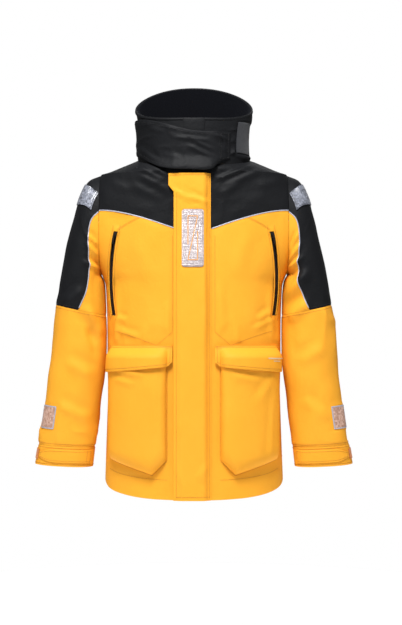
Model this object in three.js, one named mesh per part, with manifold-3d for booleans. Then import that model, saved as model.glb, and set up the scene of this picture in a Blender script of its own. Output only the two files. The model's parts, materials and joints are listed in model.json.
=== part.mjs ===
// Foul weather jacket: a sailor's shell with a storm flap over the front zip, a high collar with
// a face flap, zipped chest pockets, cargo pockets and tabbed cuffs.
//
// Frame: millimetres, +Z up, the front faces -Y, +X is the wearer's left. The origin is where the
// jacket sits on the wearer's shoulders, on the middle plane.
import * as THREE from 'three';
import { mergeVertices } from 'three/addons/utils/BufferGeometryUtils.js';
import Module from 'manifold-3d';

const wasm = await Module();
wasm.setup();

// ---- Cloth and clearances ---------------------------------------------------------------------
const shell = 3; // shell cloth with membrane and backing
const trim = 1.2; // patches, tapes and pocket mesh
const fleece = 4; // pile lining of the collar
const seamGap = 0.5; // between two panels sewn edge to edge
const lay = 0.6; // from a piece to what it lies on

// ---- Body -------------------------------------------------------------------------------------
const armholeX = 222; // the plane of each armhole
const armpitZ = -262;
const shoulderZ = -26; // top of the armhole
const armholeShare = 0.66; // depth of the armhole as a share of the body's depth
const armholePower = 2.2;
const bodyPower = 2.4; // superellipse power of a level section
const chestHalf = 204;
const waistHalf = 205;
const hemHalf = 214;
const backDepthChest = 132;
const backDepthWaist = 126;
const hemFrontZ = -783;
const hemRise = 46; // from the hem's middle up to the side seam
const hemSideZ = hemFrontZ + hemRise;
const hemRound = 0.6;
const zipDepth = 109.4; // the front edge lies on one straight line, so that the slider runs true
const zipLean = 0.0493;
const frontEdgeX = 8.5; // from the middle to each front panel's edge

// ---- Neck and collar --------------------------------------------------------------------------
const neckHalf = 134;
const neckBack = 95;
const neckSideZ = 10;
const neckTilt = 22; // the neck seam rises from front to back
const neckPower = 2.15;
const rimFrontZ = 98;
const rimBackZ = 199;
const rimCurve = 1.53;
const collarBow = 5;
const collarFlare = 7;
const liningEdgeX = 20;

// ---- Yoke -------------------------------------------------------------------------------------
const yokeSideZ = -115;
const yokeDrop = 56; // from the armhole down to the front edge
const pipingWidth = 4.5;
const pipingRise = 1.4;

// ---- Storm flap and main zip ------------------------------------------------------------------
const stormFreeX = -46;
const stormWideX = -58;
const stormHingeX = 39;
const stormTopZ = -33;
const stormWideZ = -61;
const stormNarrowZ = -76;
const stormRoom = 11; // room over the zip
const stormFreeRoom = 4.5;
const patchWidth = 50;
const patchHeight = 133;
const patchTopZ = -117;
const patchX = -2;
const zipTopZ = 58;
const zipBottomZ = -765;
const toothGap = 1.2; // half the slit that the slider's wedge runs in
const toothX = 4;
const tapeX = 14;
const sliderLength = 16;
const pullLength = 30;

// ---- Chest pockets ----------------------------------------------------------------------------
const chestZipPlan = [[181, -166], [194, -262], [188, -358]]; // x and z of its two ends and middle
const chestSlotHalf = 7;
const chestSliderLength = 11;
const chestPullLength = 22;
const chestBagX = 49;
const chestBagTopZ = -150;
const chestBagBottomZ = -402;
const chestBagRoom = 6;

// ---- Cargo pockets ----------------------------------------------------------------------------
const cargoSeamZ = hemSideZ + 307;
const cargoFlapInnerX = 48;
const cargoFlapOuterX = 194;
const cargoFlapInnerDrop = 47;
const cargoFlapOuterDrop = 64;
const pouchInnerX = 64;
const pouchOuterX = 192;
const pouchTopZ = cargoSeamZ - 34;
const pouchCornerX = 95;
const pouchCornerZ = hemSideZ + 13;
const pouchInnerZ = pouchCornerZ + 32;
const pouchOuterZ = pouchCornerZ + 30;
const pouchRoom = 22;
const cargoFlapRoom = 5; // from the pouch to the flap over it

// ---- Sleeves ----------------------------------------------------------------------------------
const underarmLength = 455; // from the armpit down to the cuff's inner edge
const sleeveSeam = 5.67; // station where the upper sleeve ends
const cuffSeam = 8.46;
const cuffEnd = 9;
const innerCuffShare = 0.58;

const { PI, abs, asin, cos, hypot, max, min, sign, sin, sqrt } = Math;
const degree = PI / 180;
const mix = (a, b, t) => a + (b - a) * t;
const clamp = (t) => min(max(t, 0), 1);
const ease = (t) => clamp(t) * clamp(t) * (3 - 2 * clamp(t));
const power = (value, p) => sign(value) * abs(value) ** p;
const vec = (x, y, z) => new THREE.Vector3(x, y, z);

/** Smooth curve through [place, value] stations, level past its ends. */
function along(stations, place) {
  const last = stations.length - 1;
  const at = min(max(place, stations[0][0]), stations[last][0]);
  let i = 0;
  while (i < last - 1 && at > stations[i + 1][0]) i += 1;
  const slope = (k) => {
    const before = stations[max(k - 1, 0)];
    const after = stations[min(k + 1, last)];
    return (after[1] - before[1]) / (after[0] - before[0]);
  };
  const [x0, y0] = stations[i];
  const [x1, y1] = stations[i + 1];
  const span = x1 - x0;
  const t = (at - x0) / span;
  const rise = t * t * (3 - 2 * t);
  const bend = slope(i) * t * (1 - t) ** 2 - slope(i + 1) * t * t * (1 - t);
  return mix(y0, y1, rise) + span * bend;
}

// ---- Closed solids from grids -----------------------------------------------------------------

/** One closed body between an outer and an inner map of the unit square. */
function between(outer, inner, nu, nv, wrap = false) {
  const columns = wrap ? nu : nu + 1;
  const points = [];
  for (const map of [outer, inner]) {
    for (let j = 0; j <= nv; j += 1) {
      for (let i = 0; i < columns; i += 1) points.push(...map(i / nu, j / nv).toArray());
    }
  }
  const half = columns * (nv + 1);
  const id = (side, i, j) => side * half + j * columns + (i % columns);
  const faces = [];
  const quad = (a, b, c, d) => faces.push(a, b, c, a, c, d);
  for (let j = 0; j < nv; j += 1) {
    for (let i = 0; i < nu; i += 1) {
      quad(id(0, i, j), id(0, i + 1, j), id(0, i + 1, j + 1), id(0, i, j + 1));
      quad(id(1, i, j + 1), id(1, i + 1, j + 1), id(1, i + 1, j), id(1, i, j));
    }
  }
  for (let i = 0; i < nu; i += 1) {
    quad(id(1, i, 0), id(1, i + 1, 0), id(0, i + 1, 0), id(0, i, 0));
    quad(id(0, i, nv), id(0, i + 1, nv), id(1, i + 1, nv), id(1, i, nv));
  }
  for (let j = 0; j < nv && !wrap; j += 1) {
    quad(id(0, 0, j), id(0, 0, j + 1), id(1, 0, j + 1), id(1, 0, j));
    quad(id(1, nu, j), id(1, nu, j + 1), id(0, nu, j + 1), id(0, nu, j));
  }
  return outward(fromArrays(points, faces));
}

function fromArrays(points, faces) {
  const geometry = new THREE.BufferGeometry();
  geometry.setAttribute('position', new THREE.Float32BufferAttribute(points, 3));
  geometry.setIndex(faces);
  return geometry;
}

/** Turns the faces round if the body's signed volume is negative. */
function outward(geometry) {
  const place = geometry.attributes.position;
  const index = geometry.index.array;
  const corner = (k) => new THREE.Vector3().fromBufferAttribute(place, index[k]);
  let volume = 0;
  for (let k = 0; k < index.length; k += 3) {
    volume += corner(k).dot(corner(k + 1).cross(corner(k + 2)));
  }
  return volume < 0 ? flipped(geometry) : geometry;
}

function flipped(geometry) {
  const index = [...geometry.index.array];
  for (let k = 0; k < index.length; k += 3) [index[k], index[k + 1]] = [index[k + 1], index[k]];
  geometry.setIndex(index);
  return geometry;
}

function mirrored(geometry) {
  const copy = geometry.clone().scale(-1, 1, 1);
  return flipped(copy);
}

/** The surface's own normal, pointing away from the axis that inside(u, v) gives. */
function normalOf(surface, inside) {
  const step = 1e-3;
  const raw = (u, v) => {
    const across = surface(min(u + step, 1), v).sub(surface(max(u - step, 0), v));
    const up = surface(u, min(v + step, 1)).sub(surface(u, max(v - step, 0)));
    return across.cross(up).normalize();
  };
  const out = surface(0.5, 0.5).sub(inside(0.5, 0.5));
  const side = sign(raw(0.5, 0.5).dot(out));
  return (u, v) => raw(u, v).multiplyScalar(side);
}

const middleAxis = (surface) => (u, v) => surface(u, v).multiply(vec(0, 0, 1));

/** A sheet of cloth on a surface, between two distances from it (numbers or functions of u, v). */
function sheet(surface, nu, nv, low, high) {
  const normal = normalOf(surface, middleAxis(surface));
  const read = (size, u, v) => (typeof size === 'function' ? size(u, v) : size);
  const at = (size) => (u, v) => surface(u, v).addScaledVector(normal(u, v), read(size, u, v));
  return between(at(high), at(low), nu, nv);
}

/** Straight bar with a polygon section given in the plane of two directions. */
function bar(section, from, to, sideways, upwards) {
  const count = section.length;
  const points = [];
  for (const end of [from, to]) {
    for (const [s, h] of section) {
      points.push(...end.clone().addScaledVector(sideways, s).addScaledVector(upwards, h).toArray());
    }
  }
  return outward(fromArrays(points, prismFaces(section, count)));
}

/** Faces of a prism over a section: its two caps first, then its sides. */
function prismFaces(section, count) {
  const outline = section.map(([s, h]) => new THREE.Vector2(s, h));
  const area = ([a, b, c]) => (outline[b].x - outline[a].x) * (outline[c].y - outline[a].y)
    - (outline[c].x - outline[a].x) * (outline[b].y - outline[a].y);
  const caps = THREE.ShapeUtils.triangulateShape(outline, []);
  const clockwise = THREE.ShapeUtils.isClockWise(outline);
  const faces = [];
  for (const cap of caps) {
    const [a, b, c] = area(cap) > 0 ? cap : [cap[0], cap[2], cap[1]];
    faces.push(a, c, b, a + count, b + count, c + count);
  }
  for (let k = 0; k < count; k += 1) {
    const next = (k + 1) % count;
    const side = [k, next, next + count, k, next + count, k + count];
    faces.push(...(clockwise ? side.reverse() : side));
  }
  return faces;
}

function toManifold(geometry) {
  const bare = geometry.clone();
  bare.deleteAttribute('normal');
  bare.deleteAttribute('uv');
  const merged = mergeVertices(bare, 1e-4);
  const vertProperties = new Float32Array(merged.attributes.position.array);
  const triVerts = new Uint32Array(merged.index.array);
  return new wasm.Manifold(new wasm.Mesh({ numProp: 3, vertProperties, triVerts }));
}

function fromManifold(solid) {
  const { vertProperties, triVerts } = solid.getMesh();
  return fromArrays(Array.from(vertProperties), Array.from(triVerts));
}

const cut = (geometry, tool) => fromManifold(toManifold(geometry).subtract(toManifold(tool)));

function joined(geometries) {
  return fromManifold(geometries.map(toManifold).reduce((whole, next) => whole.add(next)));
}

// ---- The body's surface -----------------------------------------------------------------------

const armholeMidZ = (armpitZ + shoulderZ) / 2;
const armholeHalfZ = (shoulderZ - armpitZ) / 2;
const bodyOutline = [
  [hemFrontZ - 7, hemHalf],
  [(hemFrontZ + armpitZ) / 2, waistHalf],
  [armpitZ - 108, chestHalf],
  [armpitZ - 38, chestHalf + 1.5],
  [armpitZ - 18, chestHalf + 5],
  [armpitZ, armholeX],
];
const bodyBack = [
  [hemFrontZ, backDepthChest],
  [(hemFrontZ + armpitZ) / 2, backDepthWaist],
  [armpitZ, backDepthChest],
  [armholeMidZ, backDepthChest + 2],
  [shoulderZ, backDepthChest - 12],
];

/** Half width of a level section; it swells past the armhole plane so that the plane cuts an oval. */
function halfWidth(z) {
  if (z <= armpitZ) return along(bodyOutline, z);
  const part = abs((z - armholeMidZ) / armholeHalfZ);
  const depth = armholeShare * max(1 - part ** armholePower, 0) ** (1 / armholePower);
  return armholeX / (1 - depth ** bodyPower) ** (1 / bodyPower);
}

const frontDepth = (z) => zipDepth - zipLean * z;

function oval(angle, z, half, front, back, roundness) {
  const depth = cos(angle) > 0 ? front : back;
  const x = half * power(sin(angle), 2 / roundness);
  return vec(x, -depth * power(cos(angle), 2 / roundness), z);
}

function neckPoint(angle) {
  const z = neckSideZ - neckTilt * cos(angle);
  return oval(angle, z, neckHalf, frontDepth(neckSideZ - neckTilt), neckBack, neckPower);
}

/** Point of the body at an angle from the front middle and a height; above the armhole the height
 *  runs on over the shoulder to the neck seam. */
function bodyPoint(angle, height) {
  const z = min(height, shoulderZ);
  const low = oval(angle, z, halfWidth(z), frontDepth(z), along(bodyBack, z), bodyPower);
  const share = (height - shoulderZ) / (neckSideZ - shoulderZ);
  return share > 0 ? low.lerp(neckPoint(angle), share) : low;
}

/** Largest angle from the front (or back) middle before the armhole or the side seam. */
function seamAngle(height) {
  if (height <= armpitZ || height >= shoulderZ) return PI / 2;
  return asin((armholeX / halfWidth(height)) ** (bodyPower / 2));
}

const angleAt = (x, z) => sign(x) * asin(min(abs(x) / halfWidth(z), 1) ** (bodyPower / 2));
const frontPoint = (x, z) => bodyPoint(angleAt(x, z), z);
const hemZ = (angle) => hemSideZ - hemRise * abs(cos(angle)) ** hemRound;

/** The front yoke seam's height over the share from the front edge to the armhole. */
const yokeZ = (share) => yokeSideZ - yokeDrop * (1 - share) ** 2;

// ---- Body panels ------------------------------------------------------------------------------

const tight = seamGap / 2 / chestHalf; // half a seam's gap, as an angle

function frontPanel() {
  const surface = (u, v) => {
    const share = 1 - (1 - v) ** 1.5;
    const z = mix(hemZ(u * PI / 2), yokeZ(u) - seamGap / 2, share);
    return bodyPoint(mix(angleAt(frontEdgeX, z), seamAngle(z) - tight, u), z);
  };
  return sheet(surface, 10, 16, -shell, 0);
}

function backPanel() {
  const surface = (u, v) => {
    const angle = mix(-PI / 2, PI / 2, u);
    const z = mix(hemZ(angle), yokeSideZ - seamGap / 2, 1 - (1 - v) ** 1.5);
    return bodyPoint(PI + (2 * u - 1) * (seamAngle(z) - tight), z);
  };
  return sheet(surface, 16, 14, -shell, 0);
}

/** Height over the yoke's own share v: its rows close up towards the armhole's top. */
function yokeHeight(low, v) {
  const part = 0.7;
  if (v > part) return mix(shoulderZ, neckSideZ, (v - part) / (1 - part));
  return mix(low + seamGap / 2, shoulderZ, 1 - (1 - v / part) ** 2.4);
}

function yokeFront() {
  const neckEdge = asin((frontEdgeX / neckHalf) ** (neckPower / 2));
  const surface = (u, v) => {
    const height = yokeHeight(yokeZ(u), v);
    const over = clamp((height - shoulderZ) / (neckSideZ - shoulderZ));
    const edge = mix(angleAt(frontEdgeX, min(height, shoulderZ)), neckEdge, over);
    return bodyPoint(mix(edge, seamAngle(height) - tight, u), height);
  };
  return sheet(surface, 10, 10, -shell, 0);
}

function yokeBack() {
  const surface = (u, v) => {
    const height = yokeHeight(yokeSideZ, v);
    return bodyPoint(PI + (2 * u - 1) * (seamAngle(height) - tight), height);
  };
  return sheet(surface, 16, 9, -shell, 0);
}

function yokePiping() {
  const surface = (u, v) => {
    const z = yokeZ(u) + (v - 0.5) * pipingWidth;
    return bodyPoint(mix(angleAt(-stormFreeX + 14, z), seamAngle(z) - 4 * tight, u), z);
  };
  return sheet(surface, 9, 1, lay, lay + pipingRise);
}

function backLining() {
  const surface = (u, v) => {
    const z = mix(hemSideZ + 30, armpitZ - 45, v);
    return bodyPoint(PI + (2 * u - 1) * (PI / 2 - 0.03), z);
  };
  return sheet(surface, 16, 6, -shell - lay - 1.4, -shell - lay - 0.4);
}

// ---- Collar -----------------------------------------------------------------------------------

const collarBaseZ = (angle) => neckSideZ - neckTilt * cos(angle) + seamGap;
const collarRimZ = (angle) => rimFrontZ + (rimBackZ - rimFrontZ) * ((1 - cos(angle)) / 2) ** rimCurve;

function collarAtZ(angle, z, room = 0) {
  const share = clamp((z - collarBaseZ(angle)) / (collarRimZ(angle) - collarBaseZ(angle)));
  const half = neckHalf + collarFlare * share - collarBow * sin(PI * share);
  const back = neckBack - 10 * share;
  return oval(angle, z, half + room, frontDepth(z) + room, back + room, neckPower);
}

const collarAngleAt = (x, half = neckHalf) => sign(x) * asin((abs(x) / half) ** (neckPower / 2));

function collarRing(edgeX, trimTop) {
  const edge = collarAngleAt(edgeX);
  return (u, v) => {
    const angle = mix(edge, 2 * PI - edge, u);
    return collarAtZ(angle, mix(collarBaseZ(angle), collarRimZ(angle) - trimTop, v));
  };
}

const collarShell = () => sheet(collarRing(frontEdgeX, 0), 28, 4, -shell, 0);
const collarLining = () => sheet(collarRing(liningEdgeX, 3), 28, 3, -shell - 1.3 - fleece, -shell - 1.3);

const faceFlapHingeX = 85;
const faceFlapEndAngle = -104 * degree;
const faceFlapRoom = 8; // over the zip's slider
const faceFlapEndRoom = 3;

function faceFlapTopZ(x) {
  return along([[-140, 103], [-100, 97], [-60, 84], [0, 67], [faceFlapHingeX, 66]], x);
}

function faceFlapBottomZ(x) {
  return along([[-140, 27], [-110, 3], [-60, -20], [0, -25], [34, -24], [58, -6], [faceFlapHingeX, 4]], x);
}

/** The face flap stands off the collar in front of the zip, and flares below over the yoke. */
function faceFlapSurface(u, v) {
  const angle = mix(faceFlapEndAngle, collarAngleAt(faceFlapHingeX), u);
  const x = collarAtZ(angle, collarBaseZ(angle)).x;
  const z = mix(faceFlapBottomZ(x), faceFlapTopZ(x), v);
  const fromHinge = ease((faceFlapHingeX - x) / 45);
  const toEnd = ease((-40 - x) / 80);
  const room = mix(mix(lay, faceFlapRoom, fromHinge), faceFlapEndRoom, toEnd);
  const flare = 12 * ease((12 - z) / 38) * ease((faceFlapHingeX - 30 - x) / 20);
  return collarAtZ(angle, max(z, collarBaseZ(angle)), room + flare).setZ(z);
}

const faceFlap = () => sheet(faceFlapSurface, 22, 4, 0, shell - 0.5);

function chinGuard() {
  const surface = (u, v) => {
    const z = mix(zipTopZ + 3, rimFrontZ - 1, v);
    return collarAtZ(mix(-1, 1, u) * collarAngleAt(24), z);
  };
  return sheet(surface, 6, 2, lay, lay + shell);
}

function collarLoopPatch() {
  const surface = (u, v) => {
    const angle = mix(collarAngleAt(100), collarAngleAt(131), u);
    return collarAtZ(angle, mix(20, 92, v));
  };
  return sheet(surface, 4, 3, lay, lay + trim);
}

/** A bent tape on the neck seam inside the collar; a hook bears on the underside of its top bar. */
const loopWidth = 60;
const loopHeight = 18;
const loopTape = 8;
const loopThick = 2;
const loopFootZ = neckSideZ + neckTilt + 3;

function hangerLoop() {
  const half = loopWidth / 2;
  const outline = [[-half, 0], [half, 0], [half, loopHeight], [-half, loopHeight]];
  const hole = [[-half + loopThick, -1], [half - loopThick, -1],
    [half - loopThick, loopHeight - loopThick], [-half + loopThick, loopHeight - loopThick]];
  const seat = collarAtZ(PI - collarAngleAt(half), loopFootZ + loopHeight).y - shell - lay - fleece - 1;
  const ends = (spare) => [seat + spare, seat - loopTape - spare].map((y) => vec(0, y, loopFootZ));
  const axes = [vec(1, 0, 0), vec(0, 0, 1)];
  return cut(bar(outline, ...ends(0), ...axes), bar(hole, ...ends(1), ...axes));
}

// ---- Storm flap and main zip ------------------------------------------------------------------

/** Distance of the storm flap's underside from the front, over x. */
function stormUnder(x) {
  const rise = ease((x - stormFreeX) / 22);
  const fall = ease((stormHingeX - x) / 18);
  return mix(stormFreeRoom, stormRoom, rise) * fall + lay * (1 - fall);
}

function stormLeftX(z) {
  return mix(stormFreeX, stormWideX, clamp((z - stormNarrowZ) / (stormWideZ - stormNarrowZ)));
}

const stormMap = (u, v) => {
  const z = v < 0.7 ? mix(hemFrontZ, stormNarrowZ, v / 0.7) : mix(stormNarrowZ, stormTopZ, (v - 0.7) / 0.3);
  return [mix(stormLeftX(z), stormHingeX, u), z];
};
const stormSurface = (u, v) => frontPoint(...stormMap(u, v));
const stormLow = (u, v) => stormUnder(stormMap(u, v)[0]);
const stormFlap = () => sheet(stormSurface, 12, 10, stormLow, (u, v) => stormLow(u, v) + shell);

function frontPatch(left, right, bottom, top, nu, nv, low, thick) {
  const surface = (u, v) => frontPoint(mix(left, right, u), mix(bottom, top, v));
  const under = (u) => low(mix(left, right, u));
  return sheet(surface, nu, nv, under, (u) => under(u) + thick);
}

const stormOver = (x) => stormUnder(x) + shell + lay;
const hookUnder = (x) => stormUnder(x) - lay - trim;
const closureLeft = stormFreeX + 4;
const closureRight = stormFreeX + 16;

function stormPatch() {
  const half = patchWidth / 2;
  return frontPatch(patchX - half, patchX + half, patchTopZ - patchHeight, patchTopZ, 6, 2, stormOver, 1);
}

const stormHook = () => frontPatch(closureLeft, closureRight, -760, -100, 2, 4, hookUnder, trim);
const stormLoop = () => frontPatch(closureLeft, closureRight, -750, -190, 2, 4, () => lay, 1);

const zipUp = vec(0, zipLean, 1).normalize();
const zipOut = vec(0, -1, zipLean).normalize();
const zipAt = (z) => vec(0, -frontDepth(z), z);
const acrossZip = vec(1, 0, 0);

/** One half of the zip: a row of teeth on the edge of its tape, which lies behind the front. */
function mainZipHalf() {
  const section = [[toothGap, -6.2], [toothX, -6.2], [toothX, -4.8], [tapeX, -4.8], [tapeX, -3.8],
    [toothX, -3.8], [toothX, -1.8], [toothGap, -1.8]];
  return bar(section, zipAt(zipBottomZ), zipAt(zipTopZ), acrossZip, zipOut);
}

function mainZipBox() {
  const section = [[-7, -6.6], [7, -6.6], [7, -1], [-7, -1]];
  return bar(section, zipAt(zipBottomZ - 0.4), zipAt(zipBottomZ - 13), acrossZip, zipOut);
}

/** Gutter behind the zip, on its foot along the wearer's left front. */
function gutterFlap() {
  const seat = -shell - lay - 0.7;
  const section = [[-30, -13.5], [20, -13.5], [27, -10], [27, seat], [31, seat],
    [31, -11], [22, -15.5], [-30, -15.5]];
  return bar(section, zipAt(hemFrontZ + 14), zipAt(neckSideZ - neckTilt - 12), acrossZip, zipOut);
}

const sliderZ = zipTopZ - sliderLength / 2 - 2;

const plateThick = 1.4; // of a slider's two plates
const wedgeLength = 5;
const bailHalf = 3; // half the bail's length along the zip
const bailThick = 1; // half its width
const bailRise = 1.6;
const tongueThick = 1.6; // of a zip pull

/** Section of a bar as wide as twice half, between two heights. */
const slab = (half, low, high) => [[-half, low], [half, low], [half, high], [-half, high]];

/** Two plates joined by a wedge, with a bail for the pull: the teeth run between the plates. */
function zipSlider(place, up, side, out, size, length) {
  const at = (run) => place.clone().addScaledVector(up, run);
  const half = length / 2;
  const block = (width, low, high, from, to) => bar(slab(width, low, high), at(from), at(to), side, out);
  const { bottom, top } = size;
  return joined([
    block(size.half, bottom, bottom + plateThick, -half, half),
    block(size.half, top - plateThick, top, -half, half),
    block(size.wedge, bottom, top, half - wedgeLength, half),
    block(bailThick, top - plateThick / 2, top + bailRise, -bailHalf, bailHalf),
  ]);
}

/** A flat pull that hangs down from the bail; its fork holds the bail between two cheeks. */
function zipPull(place, up, side, out, low, length, half) {
  const at = (run) => place.clone().addScaledVector(up, run);
  const tongue = bar(slab(half, low, low + tongueThick), at(0.5), at(-length), side, out);
  const fork = slab(bailThick + 0.5, low - 1, low + 2 * tongueThick);
  return cut(tongue, bar(fork, at(bailHalf + 2), at(-bailHalf - 2), side, out));
}

const mainSize = { half: 6.5, wedge: 0.8, bottom: -8.2, top: 0.6 };
const mainSlider = () => zipSlider(zipAt(sliderZ), zipUp, acrossZip, zipOut, mainSize, sliderLength);
const mainPull = () => zipPull(zipAt(sliderZ), zipUp, acrossZip, zipOut, mainSize.top + 0.5, pullLength, 4);

// ---- Chest pockets ----------------------------------------------------------------------------

/** Circle through three points of the front: the zip is bent to it, so that its slider turns on it. */
function circleThrough([a, b, c]) {
  const ab = b.clone().sub(a);
  const ac = c.clone().sub(a);
  const cross = ab.clone().cross(ac);
  const toCentre = cross.clone().cross(ab).multiplyScalar(ac.lengthSq())
    .add(ac.clone().cross(cross).multiplyScalar(ab.lengthSq()))
    .multiplyScalar(1 / (2 * cross.lengthSq()));
  const centre = a.clone().add(toCentre);
  const axis = cross.normalize();
  const first = a.clone().sub(centre).normalize();
  const second = axis.clone().cross(first);
  const last = c.clone().sub(centre);
  const sweep = Math.atan2(last.dot(second), last.dot(first));
  return { centre, axis, radius: toCentre.length(), first, second, sweep };
}

const chestArc = circleThrough(chestZipPlan.map(([x, z]) => frontPoint(x, z)));

/** The arc's own frame at an angle from its top end; out is the front's normal at its middle. */
function chestFrame(angle) {
  const middle = chestZipPlan[1];
  const step = 0.5;
  const across = frontPoint(middle[0] + step, middle[1]).sub(frontPoint(middle[0] - step, middle[1]));
  const upwards = frontPoint(middle[0], middle[1] + step).sub(frontPoint(middle[0], middle[1] - step));
  const normal = across.cross(upwards).normalize();
  const radial = (turn) => chestArc.first.clone().multiplyScalar(cos(turn))
    .addScaledVector(chestArc.second, sin(turn));
  const mid = radial(chestArc.sweep / 2);
  const lean = Math.atan2(normal.dot(chestArc.axis), normal.dot(mid));
  const spoke = radial(angle);
  const out = spoke.clone().multiplyScalar(cos(lean)).addScaledVector(chestArc.axis, sin(lean));
  const side = spoke.clone().multiplyScalar(-sin(lean)).addScaledVector(chestArc.axis, cos(lean));
  const place = chestArc.centre.clone().addScaledVector(spoke, chestArc.radius);
  return { place, out, side, up: out.clone().cross(side).normalize() };
}

/** A section swept round the arc between two shares of its sweep. */
function chestSweep(section, from, to, steps) {
  const count = section.length;
  const points = [];
  for (let k = 0; k <= steps; k += 1) {
    const { place, out, side } = chestFrame(chestArc.sweep * mix(from, to, k / steps));
    for (const [s, h] of section) {
      points.push(...place.clone().addScaledVector(side, s).addScaledVector(out, h).toArray());
    }
  }
  const faces = [];
  const ends = prismFaces(section, count);
  const capCount = 2 * (count - 2) * 3;
  for (const k of ends.slice(0, capCount)) faces.push(k < count ? k : k + (steps - 1) * count);
  for (let ring = 0; ring < steps; ring += 1) {
    faces.push(...ends.slice(capCount).map((k) => k + ring * count));
  }
  return outward(fromArrays(points, faces));
}

const chestSteps = 8; // straight lengths that the arc is made of
const chestSlot = () => chestSweep(slab(chestSlotHalf, -4 * shell, 4 * shell), -0.005, 1.005, chestSteps);

function chestZipHalf(side) {
  const edge = chestSlotHalf - 0.3;
  const inner = 0.9; // half the slit between the two rows of teeth
  const teeth = 2.8;
  const section = [[inner, -3], [teeth, -3], [teeth, -1.8], [edge, -1.8], [edge, -1.8 + trim],
    [teeth, -1.8 + trim], [teeth, 0.8], [inner, 0.8]];
  return chestSweep(section.map(([s, h]) => [s * side, h]), 0, 1, chestSteps);
}

const chestSliderTurn = (chestSliderLength / 2 + 2) / chestArc.radius * sign(chestArc.sweep);
const chestSize = { half: 4.4, wedge: 0.55, bottom: -4.8, top: 2.6 };

function chestSlider() {
  const { place, up, side, out } = chestFrame(chestSliderTurn);
  const turned = up.z > 0 ? up : up.clone().negate();
  return zipSlider(place, turned, side, out, chestSize, chestSliderLength);
}

function chestPull() {
  const { place, up, side, out } = chestFrame(chestSliderTurn);
  const turned = up.z > 0 ? up : up.clone().negate();
  return zipPull(place, turned, side, out, chestSize.top + 0.5, chestPullLength, 3);
}

/** Mesh bag behind the front: a shallow tray whose rim meets the front's inner face. */
function chestBag() {
  const outerX = (z) => min(0.96 * halfWidth(z), armholeX - 12);
  const bottomZ = (x) => chestBagBottomZ - 26 * ease((x - chestBagX) / 36);
  const surface = (u, v) => {
    const x0 = mix(chestBagX, 200, u);
    const z = mix(bottomZ(x0), chestBagTopZ, v);
    return frontPoint(mix(chestBagX, outerX(z), u), z);
  };
  const deep = (u, v) => ease(min(u, 1 - u) * 10) * ease(min(v, 1 - v) * 10);
  const top = (u, v) => -shell - 0.9 - 2.8 * ease((u - 0.7) / 0.3) - chestBagRoom * deep(u, v);
  return sheet(surface, 10, 10, (u, v) => top(u, v) - trim, top);
}

// ---- Cargo pockets ----------------------------------------------------------------------------

function pouchBottomZ(x) {
  const inner = mix(pouchInnerZ, pouchCornerZ, clamp((x - pouchInnerX) / (pouchCornerX - pouchInnerX)));
  const outer = mix(pouchCornerZ, pouchOuterZ, clamp((x - pouchCornerX) / (pouchOuterX - pouchCornerX)));
  return x < pouchCornerX ? inner : outer;
}

/** How far the pouch stands off the front: full in its middle, nothing at its sewn edges. */
function pouchLift(share) {
  return sqrt(max(1 - abs(2 * share - 1) ** 5, 0));
}

function pouchPoint(u, v) {
  const x = mix(pouchInnerX, pouchOuterX, u);
  const z = mix(pouchBottomZ(x), pouchTopZ, v);
  const step = 0.5;
  const across = frontPoint(x + step, z).sub(frontPoint(x - step, z));
  const normal = across.cross(vec(0, 0, 1)).normalize();
  const foot = sqrt(1 - (1 - min(v * 7, 1)) ** 2);
  return frontPoint(x, z).addScaledVector(normal, 1.6 + pouchRoom * pouchLift(u) * foot);
}

const cargoPouch = () => sheet(pouchPoint, 14, 10, 0, shell - 1);

function cargoFlapPoint(u, v) {
  const x = mix(cargoFlapInnerX, cargoFlapOuterX, u);
  const drop = mix(cargoFlapInnerDrop, cargoFlapOuterDrop, u) - 8 * (1 - ease(u * 12));
  const z = cargoSeamZ - drop * (1 - v);
  const share = clamp((x - pouchInnerX) / (pouchOuterX - pouchInnerX));
  const over = (pouchRoom * pouchLift(share) + cargoFlapRoom) * ease((1 - v) * drop / 30);
  const step = 0.5;
  const normal = frontPoint(x + step, z).sub(frontPoint(x - step, z)).cross(vec(0, 0, 1)).normalize();
  return frontPoint(x, z).addScaledVector(normal, lay + 0.6 + over);
}

const cargoFlap = () => sheet(cargoFlapPoint, 14, 4, 0, shell);

// ---- Sleeves ----------------------------------------------------------------------------------

const sleeveStart = armholeX + 0.6;
const down = (share) => armpitZ - share * underarmLength;
/** Stations from the armhole to the cuff: place of the outer edge and of the inner edge. */
const sleeveOuter = [[sleeveStart, shoulderZ], [253, -41], [273, -79], [286, -125], [298, -172],
  [320, down(0.031)], [330, down(0.233)], [344, down(0.501)], [361, down(0.785)], [376, down(0.985)]];
const sleeveInner = [[sleeveStart, armpitZ], [222.8, armpitZ - 1], [222.8, armpitZ - 3],
  [222.5, armpitZ - 7], [222, armpitZ - 13], [218, down(0.09)], [212.5, down(0.292)],
  [215, down(0.534)], [229, down(0.802)], [239, down(1)]];
const sleeveDepth = [81, 83, 82, 80, 78, 73, 68, 62, 55, 50];
const sleeveForward = [4, 3, 1, -1, -4, -10, -16, -24, -31, -36];
const sleevePower = 2.2;

const read = (list, station) => along(list.map((value, k) => [k, value]), station);
const readXZ = (list, station) => [0, 1].map((k) => read(list.map((pair) => pair[k]), station));

/** Point of the sleeve at an angle from its outer edge towards the front, and a station. */
function sleevePoint(angle, station, room = 0, share = 1) {
  const [outerX, outerZ] = readXZ(sleeveOuter, station);
  const [innerX, innerZ] = readXZ(sleeveInner, station);
  const half = hypot(outerX - innerX, outerZ - innerZ) / 2;
  const reach = (half * share + room) / half * power(cos(angle), 2 / sleevePower) / 2;
  const depth = read(sleeveDepth, station) * share + room;
  const y = read(sleeveForward, station) - depth * power(sin(angle), 2 / sleevePower);
  const place = 0.5 + reach; // share of the way from the inner edge to the outer one
  return vec(mix(innerX, outerX, place), y, mix(innerZ, outerZ, place));
}

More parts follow.
